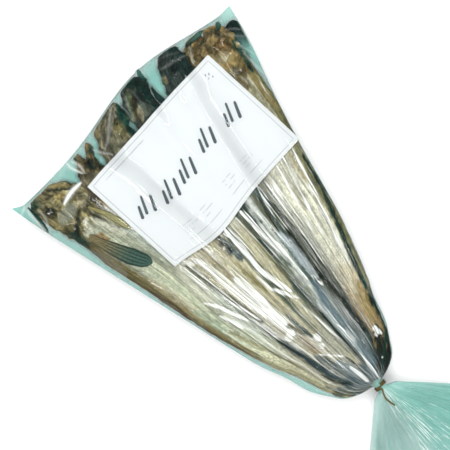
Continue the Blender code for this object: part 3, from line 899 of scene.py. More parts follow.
def card_level(across, length):
    """The card's upper face at a place, read between its vertices."""
    row = np.clip((length / CARD_LENGTH + 0.5) * CARD_ROWS, 0, CARD_ROWS - 0.001)
    column = np.clip((across / CARD_WIDTH + 0.5) * CARD_COLUMNS, 0, CARD_COLUMNS - 0.001)
    low_row, low_column = row.astype(int), column.astype(int)
    part_row, part_column = row - low_row, column - low_column
    near = card_z[low_row, low_column] * (1 - part_row)
    near += card_z[low_row + 1, low_column] * part_row
    far = card_z[low_row, low_column + 1] * (1 - part_row)
    far += card_z[low_row + 1, low_column + 1] * part_row
    return near * (1 - part_column) + far * part_column


INK_THICKNESS, BAR_STEP = 0.00012, 0.0012


def print_bar(start, end, width, taper=0.0):
    """A round-ended bar of ink from one place on the card to another, (across, length) in mm."""
    start, end = np.array(start) / 1000, np.array(end) / 1000
    run = end - start
    reach = float(np.hypot(*run))
    steps = max(4, int(reach / BAR_STEP))
    bar, along, across = add_sheet("bar", steps, 4)
    half = width / 2000
    cap = np.minimum(along, 1 - along) * reach
    round_end = np.sqrt(np.clip(1 - (1 - np.clip(cap / half, 0, 1)) ** 2, 0.02, 1))
    aside = (across - 0.5) * 2 * half * round_end * (1 - taper * along)
    spot = start + run * along[:, None] + np.array((-run[1], run[0])) / reach * aside[:, None]
    x, y = card_point(spot[:, 0], spot[:, 1])
    z = card_level(spot[:, 0], spot[:, 1]) + INK_THICKNESS
    set_places(bar, np.stack([x, y, z], axis=1))
    return bar


# Places on the card run from -105 to 105 across the fish and from -74, heads, to 74, tails. Each
# group of brush marks is three slanted bars: how far aside, how far on, its length and its width.
BRUSH_GROUPS = ((-76, -8), (-43, -2), (-12, -4), (30, -10), (72, -9))
BRUSH_BARS = ((-9, 4, 18, 4.0), (0, 0, 25, 3.6), (9, 5, 22, 4.2))
bars = []
for group_across, group_length in BRUSH_GROUPS:
    for aside, on, reach, width in BRUSH_BARS:
        start = group_across + aside - 0.22 * reach, group_length + on + 0.45 * reach
        end = group_across + aside + 0.22 * reach, group_length + on - 0.45 * reach
        bars.append(print_bar(start, end, width, 0.25))
brush_marks = join_as(bars, "brush_marks")

FRAME_IN = 5.0  # millimetres in from the card's edge
right, tails = CARD_WIDTH * 500 - FRAME_IN, CARD_LENGTH * 500 - FRAME_IN
left, heads = -right, -tails
bars = [
    print_bar((left, heads), (right, heads), 0.5),
    print_bar((left, tails), (right, tails), 0.4),
    print_bar((left, heads), (left, tails), 0.5),
    print_bar((right, heads), (right, tails), 0.4),
]
random = np.random.default_rng(7)
for column in range(-84, -20, 2):  # one row of small print at the heads' side
    if random.random() < 0.85:
        bars.append(print_bar((column, -62), (column + 1.2, -62), 1.6))
PRINT_BLOCKS = ((-66, 22), (-36, 17), (6, 20), (38, 17))  # where each starts, and its length
BLOCK_LINES = ((50, 0.6), (45, 1.0), (40, 0.8))  # how far down each line is, and how full
DASH_STEP = 2.4
for block, block_length in PRINT_BLOCKS:
    for line, full in BLOCK_LINES:
        for dash in range(int(block_length * full / DASH_STEP)):
            if random.random() < 0.75:
                near = block + dash * DASH_STEP
                bars.append(print_bar((near, line), (near + 1.3, line), 1.1))
    bars.append(print_bar((block - 3, 58), (block + block_length + 2, 58), 0.4))
small_print = join_as(bars, "small_print")
bars = [
    print_bar((84, -58), (86, -61), 1.3),
    print_bar((88, -56), (90, -59), 1.3),
    print_bar((84, -53), (86, -55), 0.9),
    print_bar((89, -51), (91, -53), 1.3),
]
corner_mark = join_as(bars, "corner_mark")


def print_in(marks, name, colour):
    ink = {"Base Color": (*srgb(*colour), 1), "Roughness": 0.6, "Specular IOR Level": 0.2}
    marks.data.materials.append(new_finish(name, ink)[0])


print_in(brush_marks, "dark_ink", (78, 88, 94))
print_in(small_print, "pale_ink", (122, 128, 132))
print_in(corner_mark, "grey_ink", (110, 116, 118))
for piece in (brush_marks, small_print, corner_mark):
    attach(piece, "root")
    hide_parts("label_card")

# ---------------------------------------------------------------------------------------------
# The bag. A flat tube of clear film, sealed across its closed end and gathered at the neck. The
# upper sheet is drawn tight over the fish and the card; the lower one lies under them.

SEAM_SHARE = 0.40  # of the pack's thickness
FILM_ROWS, FILM_COLUMNS = 300, 300
# How clear each sheet keeps of what is in the bag, how far the upper one sinks at each turn, and how
# low the lower one may lie.
OVER_GAP, UNDER_GAP, OVER_SAG, LOWEST = 0.0006, 0.0004, 0.000004, 0.0003
OVER_TURNS, UNDER_TURNS = 1100, 50  # in which each sheet settles on what is in the bag
FOLD_HEIGHT, SLIGHT_FOLD_HEIGHT, GLINT_HEIGHT = 0.0013, 0.0004, 0.0007
KNOT_FOLD_HEIGHT, LOW_FOLD_HEIGHT = 0.0012, 0.0008
TIGHT_FROM = 0.285  # from here to the knot the upper sheet is drawn tight
CALM_PLACE, CALM_SPREAD = (-0.1755, 0.0185), (0.085, 0.115)  # over the card it has fewer folds
DARK_PLACE, DARK_SPREAD = (0.030, 0.030), (0.028, 0.016)  # where it lies clear over dark skin
# Where the closed end's corners are drawn out: how far across, how far out, and how wide.
CORNER_POINTS = ((-0.177, 0.0070, 0.009), (0.177, 0.0025, 0.010))


def bag_place(down, share):
    """Where the film lies, seen from above: down from the closed end, 0, to the neck, 1."""
    row = 1 - down**1.15
    straight = NECK_HALF_LENGTH + row * (CORNER_LENGTH - NECK_HALF_LENGTH)
    across = share * half_width(straight, share)
    end = end_distance(across)
    for place, drawn_out, wide in CORNER_POINTS:
        end = end + drawn_out * blob(across - place, 0, wide, 1)
    from_knot = NECK_HALF_LENGTH + row * (end - NECK_HALF_LENGTH)
    return from_knot, across, row


def seam_height(from_knot, row):
    seam = SEAM_SHARE * thickness(from_knot) * (0.72 + 0.28 * smooth_step((1 - row) * 50 / 3))
    return seam + (NECK_HEIGHT - seam) * (1 - smooth_step(from_knot / 0.05))


# Painted highlights, white along the film's folds over the fish: its route in millimetres, from the
# knot and across the pack, its half width in millimetres and its strength.
PAINTED_SHEEN_STREAKS = (
    (((258, -55), (215, -50), (155, -42)), 4.2, 0.92),
    (((266, -36), (226, -33), (190, -30)), 1.6, 0.95),
    (((211, -38), (157, -33)), 5.5, 0.85),
    (((264, -7), (199, -10), (156, -1)), 3.2, 0.92),
    (((265, 20), (231, 23), (189, 24)), 3.8, 0.8),
    (((273, 36), (195, 34)), 1.4, 0.95),
    (((263, -74), (224, -70)), 1.2, 0.75),
    (((196, -62), (155, -50)), 1.2, 0.85),
    (((216, -86), (202, -76), (165, -61)), 1.6, 0.7),
    (((192, -82), (162, -71)), 2.2, 0.85),
    (((211, 27), (179, 24), (154, 23)), 1.3, 0.85),
    (((276, 55), (228, 43)), 1.2, 0.9),
    (((277, 73), (239, 66)), 0.8, 0.5),
    (((278, 89), (258, 84), (189, 66)), 1.4, 0.85),
    (((278, 100), (178, 72)), 1.0, 0.85),
    (((278, 116), (231, 102), (149, 77)), 1.6, 0.95),
    (((174, 85), (136, 73)), 2.4, 0.8),
    (((238, 102), (155, 74)), 0.7, 0.5),
    (((171, 39), (138, 33)), 0.8, 0.9),
    (((197, -19), (174, -16), (144, 0)), 2.5, 0.8),
    (((178, -32), (156, -36), (117, -33)), 6, 0.75),
    (((156, -6), (126, -1), (62, 4)), 0.9, 0.7),
    (((91, 12), (75, 15), (61, 14)), 0.8, 0.8),
    (((143, 31), (137, 32), (144, 37)), 0.7, 0.8),
    (((44, -11), (28, -8), (15, -7)), 2.0, 0.85),
    (((47, 9), (8, 5)), 1.2, 0.6),
    (((79, -28), (58, -9)), 1, 0.6),
    (((58, 41), (45, 44)), 2.2, 1),
    (((373, 143), (332, 137)), 1.0, 0.5),
    (((385, -119), (366, -135)), 0.9, 0.5),
)
# Painted glints: pale lines and flashes of reflected light along folds that lie across the fish: ends
# (u, v) in millimetres, from the knot and across the pack, half width in millimetres and strength. Each
# is widest at its middle.
PAINTED_CREASE_GLINTS = (
    ((459, -4), (429, -43), 1.8, 0.16), ((455, -3), (418, -62), 1.3, 0.12),
    ((440, -57), (414, -44), 1.4, 0.18), ((453, 64), (441, 100), 1.8, 0.07),
    ((462, 68), (452, 98), 1.3, 0.04), ((462, 22), (430, 24), 1.3, 0.05),
    ((420, -93), (414, -127), 2.6, 0.90), ((436, 150), (420, 172), 1.4, 0.08),
    ((433, 148), (410, 168), 1.3, 0.09), ((415, 154), (385, 160), 1.5, 0.16),
    ((402, 152), (360, 152), 1.4, 0.18), ((452, -92), (424, -86), 1.8, 0.45),
    ((448, -84), (422, -82), 1.5, 0.30), ((441, -162), (396, -166), 1.6, 0.30),
    ((430, -152), (404, -157), 1.4, 0.22), ((449, -160), (438, -175), 1.6, 0.26),
)
# Routes along which the film carries little painted sheen, so that the dark marks under it show, and
# how far to each side it does, in millimetres.
CLEAR_FOLDS = (
    ((210, 45), (171, 39), (141, 36), (100, 37), (62, 31)),
    ((86, 62), (55, 56), (35, 46), (16, 24)),
    ((122, -51), (77, -40), (47, -36), (28, -25)),
    ((128, -31), (104, -20)),
)
CLEAR_HALF_WIDTH = 3.2
# Where the film is bunched, so that more of its tint shows: place, size and how much more.
GATHERED = (((0.442, -0.176), (0.020, 0.009), 0.48), ((0.393, 0.160), (0.017, 0.0065), 0.60))
# Small crumples with painted white glints: place (u, v), half length along the pack, half width,
# strength, all in millimetres but the last.
GLINTS = (
    (95, -15, 6.5, 4.6, 1.0), (84, -18, 4.5, 3.2, 0.6), (56, 42, 3.2, 3.4, 1.0),
    (49, 38, 2.8, 3.0, 0.9), (24.5, 24.5, 1.6, 1.6, 1.0), (257, -9, 7.0, 4.0, 0.7),
    (262, -62, 8.0, 5.0, 0.6), (118, -40, 6.0, 5.0, 0.6), (150, 30, 5.0, 3.0, 0.5),
    (418, -145, 1.4, 2.4, 1.0), (407, -149, 3.0, 1.6, 0.6),
)


def painted_streak_sheen(from_knot, across):
    painted_sheen = np.zeros_like(from_knot)
    u, v = from_knot * 1000, across * 1000
    for route, wide, strength in PAINTED_SHEEN_STREAKS:
        away, share = beside(route, u, v)
        taper = 0.35 + 0.65 * np.sqrt(np.clip(4 * share * (1 - share), 0, 1))
        away = away + 0.5 * np.sin(u * 0.11 + v * 0.3)
        painted_sheen = np.maximum(painted_sheen, strength * np.exp(-((away / (wide * taper + 0.3)) ** 3)))
    return painted_sheen


def painted_crease_sheen(from_knot, across):
    painted_sheen = np.zeros_like(from_knot)
    for (u0, v0), (u1, v1), wide, strength in PAINTED_CREASE_GLINTS:
        run_u, run_v = u1 - u0, v1 - v0
        reach = math.hypot(run_u, run_v)
        u, v = from_knot * 1000 - u0, across * 1000 - v0
        share = (u * run_u + v * run_v) / reach**2
        away = (u * run_v - v * run_u) / reach + 1.2 * np.sin(share * 5 + u0)
        lens = np.sqrt(np.clip(4 * share * (1 - share), 0.0001, 1))
        inside = (share > 0) & (share < 1)
        painted_sheen = np.maximum(painted_sheen, strength * inside * np.exp(-((away / (wide * lens)) ** 2)))
    return painted_sheen


def folds(share, down, random, counts, sharpness=1.0):
    """Wandering lengthwise folds, 0 to 1, each count being how many lie side by side."""
    total = np.zeros_like(share)
    for count in counts:
        phase, swing, pace = random.uniform(0, 6, 2).tolist() + [random.uniform(4, 10)]
        wander = 0.8 * np.sin(down * pace + swing) + 0.4 * np.sin(down * pace * 2.7 + phase)
        wave = 1 - np.abs(np.sin(share * count * math.pi / 2 + phase + wander))
        swell = 0.5 + 0.5 * np.sin(down * pace * 1.6 + count + 3 * share)
        total += wave**sharpness * swell
    return total / len(counts)


def dress_film(sheet, painted_sheen, tint, painted_crease_glint):
    """Store the painted sheen on the film's folds, how much of its tint shows and the painted glints
    along its sharp creases.
    """
    for attribute, values in (("painted_sheen", painted_sheen), ("tint", tint), ("painted_crease_glint", painted_crease_glint)):
        sheet.data.attributes.new(attribute, "FLOAT", "POINT")
        sheet.data.attributes[attribute].data.foreach_set("value", np.clip(values, 0, 0.98))


# A sheet of the bag laid out as a grid: how far down from the closed end and how far across each
# place is, as shares, where it is from above, the height of the seam and which places are on it.
Laid = namedtuple("Laid", "sheet order down share from_knot row x y seam edge")


def lay_out(name, rows, columns):
    sheet, along, across = add_sheet(name, rows, columns)
    down, order = as_grid(along, along, across, rows, columns)
    share, order = as_grid(across * 2 - 1, along, across, rows, columns)
    from_knot, y, row = bag_place(down, share)
    seam = seam_height(from_knot, row)
    edge = np.zeros_like(share, bool)
    edge[0, :] = edge[:, 0] = edge[:, -1] = True
    return Laid(sheet, order, down, share, from_knot, row, KNOT_X - from_knot, y, seam, edge)


def into_neck(laid, z, side):
    """Draw a sheet's level in to its half of the round neck, above, 1, or below, -1."""
    neck = 1 - smooth_step(laid.from_knot / DRAWN_IN)
    return z + (NECK_HEIGHT + side * NECK_RADIUS * arch(laid.share) - z) * neck**2


def finish_sheet(laid, z, painted_sheen, tint, painted_crease_glint):
    places = np.stack([laid.x, laid.y, z], axis=-1)
    set_places(laid.sheet, places[laid.order])
    dress_film(laid.sheet, painted_sheen[laid.order], tint[laid.order], painted_crease_glint[laid.order])
    merge_and_face_out(laid.sheet)
    bpy.ops.object.shade_smooth()
    return laid.sheet


def settle_over(laid):
    """The upper sheet let down on what is in the bag: its level, how free it hangs, how empty it is."""
    blocked = widest(heights_over(contents, laid.x, laid.y))
    empty = np.isnan(blocked).astype(float)
    for turn in range(3):
        empty = mean_around(empty)
    blocked = np.nan_to_num(blocked, nan=0.0) + OVER_GAP
    rise = (thickness(laid.from_knot) - laid.seam) * arch(laid.share)
    z = np.maximum(laid.seam + rise * smooth_step(laid.down / 0.08), blocked)
    for turn in range(OVER_TURNS):
        z = np.maximum(mean_around(z) - OVER_SAG, blocked)
        z[laid.edge] = laid.seam[laid.edge]
    return z, smooth_step((z - blocked) / 0.004), empty


def fold_over(laid, z, free, calm, random):
    """Its lengthwise folds, highest where it hangs free, and those that run together at the knot."""
    pinch = smooth_step((laid.from_knot - 0.004) / 0.05)
    inside = smooth_step((1 - np.abs(laid.share)) / 0.06) * smooth_step(laid.down / 0.02)
    deep = folds(laid.share, laid.down, random, (13, 21, 34), 2.0)
    slight = folds(laid.share, laid.down, random, (47, 63, 90), 1.4)
    lift = FOLD_HEIGHT * deep * (0.35 + 0.65 * free) + SLIGHT_FOLD_HEIGHT * slight
    room = np.clip(half_width(laid.from_knot, laid.share) / 0.08, 0, 1)
    z = z + lift * calm * room * inside * pinch
    radial = folds(laid.share, laid.down, random, (26, 41), 1.2)
    near_knot = 1 - smooth_step(laid.from_knot / 0.09)
    return z + KNOT_FOLD_HEIGHT * radial * near_knot * pinch * inside


def paint_sheen_over(laid, free, empty, calm, random):
    """How white its painted sheen is: along its folds, near the knot, and where it is drawn tight over
    a gap.
    """
    painted_sheen = 1.1 * painted_streak_sheen(laid.from_knot, laid.y)
    close = 1 - smooth_step((laid.from_knot - 0.010) / 0.080)
    painted_sheen += 0.60 * close * folds(laid.share, laid.down, random, (31, 57), 5.0)
    painted_sheen += 0.10 * folds(laid.share, laid.down, random, (29, 43), 7.0) * calm
    drawn = smooth_step((TIGHT_FROM - laid.from_knot) / 0.03)
    dark_fold = blob(laid.from_knot - DARK_PLACE[0], laid.y - DARK_PLACE[1], *DARK_SPREAD)
    painted_sheen += drawn * (0.14 + 0.30 * free * (1 - empty)) * (1 - dark_fold)
    for route in CLEAR_FOLDS:
        away, on = beside(route, laid.from_knot * 1000, laid.y * 1000)
        painted_sheen *= 1 - 0.85 * np.exp(-((away / CLEAR_HALF_WIDTH) ** 2))
    return painted_sheen


def add_glints(laid, z, painted_sheen):
    """Crumple it into small facets, and paint white glints on some of them."""
    facets = 0.5 + 0.5 * np.sign(np.sin(laid.x * 1100 + 2) * np.sin(laid.y * 900 + laid.x * 500))
    for u, v, long, thick, strength in GLINTS:
        spot = blob(laid.from_knot * 1000 - u, laid.y * 1000 - v, long, thick)
        painted_sheen += strength * smooth_step((spot - 0.35) / 0.25) * (0.55 + 0.45 * facets)
        z += GLINT_HEIGHT * spot * facets


def tint_over(laid, empty):
    """How much of its tint shows: over empty places, at its rim and where it is gathered."""
    to_side = (1 - np.abs(laid.share)) * half_width(laid.from_knot, laid.share)
    rim = np.minimum(to_side, (1 - laid.row) * 0.45) * 1000
    tint = 0.01 + 0.48 * empty + 0.10 * (1 - smooth_step(rim / 2.5))
    for (at, aside), (long, broad), more in GATHERED:
        tint += more * blob(laid.from_knot - at, laid.y - aside, long, broad)
    return tint


def lay_over(name, rows, columns):
    random = np.random.default_rng(11)
    laid = lay_out(name, rows, columns)
    z, free, empty = settle_over(laid)
    over_card = blob(laid.x - CALM_PLACE[0], laid.y - CALM_PLACE[1], *CALM_SPREAD)
    calm = 1 - 0.75 * smooth_step(over_card * 2)
    z = into_neck(laid, fold_over(laid, z, free, calm, random), 1)
    painted_sheen = paint_sheen_over(laid, free, empty, calm, random)
    add_glints(laid, z, painted_sheen)
    painted_crease_glint = painted_crease_sheen(laid.from_knot, laid.y)
    return finish_sheet(laid, z, painted_sheen, tint_over(laid, empty), painted_crease_glint)


def lay_under(name, rows, columns):
    """The lower sheet: flat on the floor, drawn up in a pleated wall to the seam."""
    random = np.random.default_rng(12)
    laid = lay_out(name, rows, columns)
    down, share = laid.down, laid.share
    blocked = widest(heights_over(contents, laid.x, laid.y, 1), np.fmin)
    blocked = np.nan_to_num(blocked, nan=1.0) - UNDER_GAP
    z = np.full(laid.x.shape, UNDER_GAP)
    z[laid.edge] = laid.seam[laid.edge]
    for turn in range(UNDER_TURNS):
        z = np.clip(np.minimum(mean_around(z), blocked), LOWEST, None)
        z[laid.edge] = laid.seam[laid.edge]
    inside = smooth_step((1 - np.abs(share)) / 0.05) * smooth_step(down / 0.02)
    z += LOW_FOLD_HEIGHT * folds(share, down, random, (9, 15, 25), 1.5) * inside
    z = np.minimum(z, np.maximum(blocked, LOWEST))
    z[laid.edge] = laid.seam[laid.edge]
    # painted sheen along its folds, and on the pleats of its wall
    painted_sheen = 0.10 * folds(share, down, random, (17, 29), 4.0)
    wall = 1 - smooth_step(np.minimum((1 - np.abs(share)) / 0.10, down / 0.06))
    pleated = np.abs(np.sin(90 * down + 60 * share + 2 * np.sin(17 * down + 9 * share)))
    painted_sheen += 0.30 * wall * pleated**4
    tint = 0.42 + 0.10 * wall * (1 - pleated)
    return finish_sheet(laid, into_neck(laid, z, -1), painted_sheen, tint, 0 * painted_sheen)


contents = tree_of([*fish_bodies, card])
film_over = lay_over("film_over", FILM_ROWS, FILM_COLUMNS)
film_under = lay_under("film_under", FILM_ROWS // 2, FILM_COLUMNS // 2)

# ---------------------------------------------------------------------------------------------
# The skirt. Past the tie both sheets of film fan out, creased by the gathering, and lie down
# towards the open mouth of the bag.

SKIRT_SPREAD = math.radians(50), math.radians(46)  # to the -Y and the +Y side
SKIRT_START, MOUTH_HEIGHT, SKIRT_HALF_THICKNESS = 0.0060, 0.0085, 0.0042
SKIRT_ROWS, SKIRT_COLUMNS = 90, 220
PLEAT_HEIGHT, FINE_PLEAT_HEIGHT, OWN_PLEAT_HEIGHT = 0.0075, 0.0016, 0.0022
LEAST_HALF, LEAST_HEIGHT = 0.0002, 0.0004  # of the skirt's thickness, and over the floor


def lay_skirt(name, side):
    random = np.random.default_rng(21)
    sheet, along, across = add_sheet(name, SKIRT_ROWS, SKIRT_COLUMNS)
    share = across * 2 - 1
    angle = share * np.where(share < 0, *SKIRT_SPREAD)
    ragged = 1 - 0.02 * (1 - np.cos(9 * angle)) - 0.02 * np.sin(4.3 * angle) ** 2
    reach = along * (SKIRT_LENGTH - NECK_HALF_LENGTH) * ragged
    x = KNOT_X + NECK_HALF_LENGTH + reach * np.cos(angle)
    y = reach * np.sin(angle) + NECK_RADIUS * share * (1 - along)
    y += SKIRT_START * share * smooth_step(along / 0.05)
    middle = NECK_HEIGHT + (MOUTH_HEIGHT - NECK_HEIGHT) * smooth_step(1.2 * along)
    pleats = folds(share, along * 0.25, random, (15, 23, 33), 1.0) - 0.35
    fine = folds(share, along * 0.3, random, (57, 85), 1.3) - 0.3
    open_up = np.minimum(along * 2.2, 1)
    middle = middle + (PLEAT_HEIGHT * pleats + FINE_PLEAT_HEIGHT * fine) * open_up
    half = NECK_RADIUS * (1 - smooth_step(3 * along))
    half = half + SKIRT_HALF_THICKNESS * np.sin(0.85 * math.pi * along)
    own = np.random.default_rng(22 + side)
    own_pleats = folds(share, along * 0.3, own, (19, 31), 1.2) - 0.2
    half = half + OWN_PLEAT_HEIGHT * own_pleats * open_up
    z = middle + side * np.maximum(half * arch(share), LEAST_HALF)
    z = np.maximum(z, LEAST_HEIGHT)
    set_places(sheet, np.stack([x, y, z], axis=1))

    # painted highlights along its radial folds, brightest in a band out from the knot
    ray = folds(share, along * 0.3, own, (37, 61, 97), 5.0)
    brightest = np.exp(-(((share - 0.02) / 0.34) ** 2)) * (1 - 0.45 * along)
    at_knot = 1 - smooth_step(along / 0.30)
    painted_sheen = 0.04 + (0.35 + 3.4 * brightest + 2.2 * at_knot) * ray
    painted_sheen += 1.35 * brightest * folds(share, along * 0.4, own, (9, 14), 1.5)
    painted_sheen += 0.55 * brightest * folds(share, along * 2.5, own, (5, 8), 1.0)
    layered = folds(share, along * 0.2, own, (5, 9), 1.0) - 0.4
    tint = (0.60 if side > 0 else 0.64) + 0.14 * layered
    tint -= 0.30 * smooth_step((0.30 - share) / 0.6)
    dress_film(sheet, painted_sheen, tint, 0 * painted_sheen)
    bpy.ops.object.shade_smooth()
    return sheet


skirt_over = lay_skirt("skirt_over", 1)
skirt_under = lay_skirt("skirt_under", -1)

# ---------------------------------------------------------------------------------------------
# The neck. The whole width of the film, drawn into one fluted rope that the tie holds shut. It
# joins the bag to its skirt.

NECK_ROWS, NECK_COLUMNS, NECK_REACH = 40, 180, NECK_HALF_LENGTH + 0.0030
neck, along, around_share = add_sheet("neck", NECK_ROWS, NECK_COLUMNS)
around = around_share * 2 * math.pi
from_middle = (along * 2 - 1) * NECK_REACH
flutes = np.abs(np.sin(around * 8.5 + 0.7 * np.sin(3 * around))) * 0.6
flutes = flutes + 0.4 * np.abs(np.sin(around * 17 + 1.0 + along * 1.5))
flare = (np.abs(from_middle) / NECK_REACH) ** 2
radius = NECK_RADIUS * (0.80 + 0.14 * flutes + 0.16 * flare)
flat = 1 - 0.25 * flare
set_places(
    neck,
    np.stack(
        [
            KNOT_X + from_middle,
            radius * np.sin(around) * (1 + 0.15 * flare),
            NECK_HEIGHT + radius * np.cos(around) * flat,
        ],
        axis=1,
    ),
)
# painted highlights on the crests of its flutes
dress_film(neck, 0.15 + 0.7 * flutes**3, 0.60 + 0 * along, 0 * along)
merge_and_face_out(neck)
bpy.ops.object.shade_smooth()

# ---------------------------------------------------------------------------------------------
# The film's finish: clear, with a tint where it hangs free and painted white highlights along its
# folds. The painted highlights break up into fine fibres and flecks along it, and smooth film stays
# clear of them.

MATT_FILM = {"Roughness": 0.5, "Specular IOR Level": 0.0}
PAINTED_SHEEN_WHITE, SEA_GREEN = (0.80, 0.83, 0.79, 1), (0.245, 0.575, 0.505)
clear_film, film_shader = new_finish("clear_film", MATT_FILM)
painted_sheen, tint = stored(clear_film, "painted_sheen"), stored(clear_film, "tint")


def above_and_below(noise_value, amount):
    """A noise's value around its middle, times an amount."""
    from_middle = worked_out(clear_film, "SUBTRACT", noise_value, 0.5)
    return worked_out(clear_film, "MULTIPLY", from_middle, amount)


fleck = above_and_below(lengthwise_noise(clear_film, 14, 150, 6, 0.7), 2.4)
line = above_and_below(lengthwise_noise(clear_film, 3, 120, 3, 0.5), 2.6)
near_fold = stretched_to(clear_film, painted_sheen, 0, 0.14, 0.42, 1)
fleck = worked_out(clear_film, "MULTIPLY", worked_out(clear_film, "ADD", fleck, line), near_fold)
flecked = worked_out(clear_film, "ADD", painted_sheen, fleck)
broken = stretched_to(clear_film, flecked, 0.36, 1.30, 0, 0.92)
broken.node.interpolation_type = "SMOOTHSTEP"
white = worked_out(clear_film, "MAXIMUM", broken, stored(clear_film, "painted_crease_glint"))
not_white = worked_out(clear_film, "SUBTRACT", 1, white)
untinted = worked_out(clear_film, "SUBTRACT", 1, tint)
clear = worked_out(clear_film, "MULTIPLY", not_white, untinted)
cover = worked_out(clear_film, "SUBTRACT", 1, clear)
some_cover = worked_out(clear_film, "MAXIMUM", cover, 0.001)
white_share = worked_out(clear_film, "DIVIDE", white, some_cover)
layers = stretched_to(clear_film, tint, 0.50, 0.70, 1.0, 0.73)  # many layers of film are darker
film_colour = add_node(clear_film, "Mix", {})
film_colour.data_type = "RGBA"
feed(clear_film, film_colour, "Factor", white_share)
feed(clear_film, film_colour, "A", scaled(clear_film, SEA_GREEN, layers))
feed(clear_film, film_colour, "B", PAINTED_SHEEN_WHITE)
feed(clear_film, film_shader, "Base Color", film_colour.outputs["Result"])
feed(clear_film, film_shader, "Alpha", cover)
shine = add_node(clear_film, "BsdfGlossy", {"Color": (1, 1, 1, 1), "Roughness": 0.07})
fresnel = add_node(clear_film, "Fresnel", {"IOR": 1.36})
coats = {0: fresnel.outputs["Fac"], 1: film_shader.outputs["BSDF"], 2: shine.outputs["BSDF"]}
glossed = add_node(clear_film, "MixShader", coats).outputs["Shader"]
feed(clear_film, clear_film.node_tree.nodes["Material Output"], "Surface", glossed)
for piece in (film_over, film_under, skirt_over, skirt_under, neck):
    piece.data.materials.append(clear_film)
    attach(piece, "root")
    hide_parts("bag")

# ---------------------------------------------------------------------------------------------
# The twist tie: a flat strip of golden-brown foil with a wire inside, wound twice round the neck,
# its free end lying out over the skirt.

RING_RADIUS, RING_TURNS, RING_PITCH = NECK_RADIUS + 0.0013, 1.9, 0.0024
RING_POINTS, TIE_ROWS, TIE_COLUMNS = 96, 260, 12
TIE_HALF_WIDTH, TIE_HALF_THICKNESS, WIRE_SWELL = 0.00105, 0.00035, 0.00028
TIE_ROUNDING = np.linspace(-0.0022, 0.0022, 9)
OVER_SKIRT = (0.15, 0.35, 0.92)  # which way the free end's flat face looks
# Places along the free end, from the middle of the neck.
TIE_TAIL = (
    (0.0030, -0.0008, 0.0100), (0.0090, -0.0040, 0.0098), (0.0141, -0.0061, 0.0090),
    (0.0184, -0.0059, 0.0084), (0.0293, -0.0031, 0.0066),
)
turns = np.linspace(0, RING_TURNS, RING_POINTS)
ring = np.stack(
    [
        RING_PITCH * (turns - RING_TURNS / 2),
        RING_RADIUS * np.sin(2 * math.pi * turns),
        RING_RADIUS * np.cos(2 * math.pi * turns),
    ],
    axis=1,
)
route = np.vstack([ring, TIE_TAIL])
travel = np.concatenate([[0], np.cumsum(np.linalg.norm(np.diff(route, axis=0), axis=1))])
tie, along, around_share = add_sheet("twist_strip", TIE_ROWS, TIE_COLUMNS)
around = (around_share - 0.5) * 2 * math.pi
where = along * travel[-1]


def on_route(distance):
    """The strip's middle, its corners rounded by taking the mean of places just before and after."""
    total = np.zeros((len(distance), 3))
    for shift in TIE_ROUNDING:
        place = np.clip(distance + shift, 0, travel[-1])
        total += np.stack([np.interp(place, travel, route[:, axis]) for axis in range(3)], axis=1)
    return total / len(TIE_ROUNDING)


middle = on_route(where)
ahead = on_route(where + 0.0006) - on_route(where - 0.0006)
ahead /= np.linalg.norm(ahead, axis=1, keepdims=True)
outward = middle * (0, 1, 1)
outward /= np.linalg.norm(outward, axis=1, keepdims=True)
loose = smooth_step((where - travel[RING_POINTS - 1]) / 0.006)[:, None]
outward = outward * (1 - loose) + np.array(OVER_SKIRT) * loose
outward -= ahead * np.sum(outward * ahead, axis=1, keepdims=True)
outward /= np.linalg.norm(outward, axis=1, keepdims=True)
sideways = np.cross(ahead, outward)
closing = np.where((along < 0.0001) | (along > 0.9999), 0.02, 1.0)
wide = TIE_HALF_WIDTH * np.cos(around) * closing
thick = (TIE_HALF_THICKNESS + WIRE_SWELL * np.exp(-((np.cos(around) / 0.35) ** 2))) * closing
places = middle + sideways * wide[:, None] + outward * (thick * np.sin(around))[:, None]
set_places(tie, places + (KNOT_X, 0, NECK_HEIGHT))
merge_and_face_out(tie)
bpy.ops.object.shade_smooth_by_angle(angle=math.radians(50))
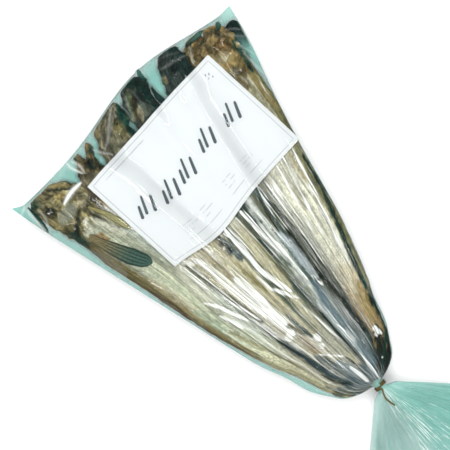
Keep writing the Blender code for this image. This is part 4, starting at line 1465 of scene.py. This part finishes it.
dull_foil = {"Base Color": (*srgb(98, 84, 40), 1), "Metallic": 0.35, "Roughness": 0.4}
tie.data.materials.append(new_finish("brown_foil", dull_foil)[0])
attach(tie, "root")
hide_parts("twist_tie")

# ---------------------------------------------------------------------------------------------
# The floor and the lights: a plain white sweep, a softbox over each end of the pack that the film
# doesn't mirror, and a long narrow lamp to either side whose reflections run along the film.

bpy.ops.mesh.primitive_plane_add(size=12, location=(0, 0, 0))
floor = bpy.context.object
floor.name = "floor"
matt_paint = {"Base Color": (0.90, 0.90, 0.90, 1), "Roughness": 0.9, "Specular IOR Level": 0.0}
floor.data.materials.append(new_finish("floor_paint", matt_paint)[0])
floor.visible_glossy = False


def add_lamp(name, place, size_x, size_y, power, mirrored):
    """A flat lamp that faces the middle of the pack, and whether the film mirrors it."""
    bpy.ops.object.light_add(type="AREA", location=place)
    lamp = bpy.context.object
    lamp.name = name
    lamp.data.shape = "RECTANGLE"
    lamp.data.size, lamp.data.size_y = size_x, size_y
    lamp.data.energy = power
    target = Vector((*VIEW_CENTRE, FISH_LEVEL))
    lamp.rotation_euler = (target - Vector(place)).to_track_quat("-Z", "Y").to_euler()
    lamp.visible_camera = False
    lamp.visible_glossy = mirrored


add_lamp("softbox_heads", (-1.10, 0.30, 1.60), 1.2, 1.2, 20, False)
add_lamp("softbox_knot", (0.90, -0.45, 1.60), 1.2, 1.2, 14, False)
add_lamp("strip_left", (-0.05, -0.80, 1.60), 1.8, 0.06, 4.5, True)
add_lamp("strip_right", (-0.05, 0.80, 1.60), 1.8, 0.06, 4.5, True)

world = bpy.data.worlds.new("studio")
bpy.context.scene.world = world
world.use_nodes = True
backdrop = world.node_tree.nodes["Background"]
backdrop.inputs["Color"].default_value = (1, 1, 1, 1)
ray = add_node(world, "LightPath", {})
dimmed = stretched_to(world, ray.outputs["Is Glossy Ray"], 0, 1, 0.8, 0.2)
feed(world, backdrop, "Strength", dimmed)  # the film mirrors a darker studio
bpy.context.scene.view_settings.view_transform = "Standard"
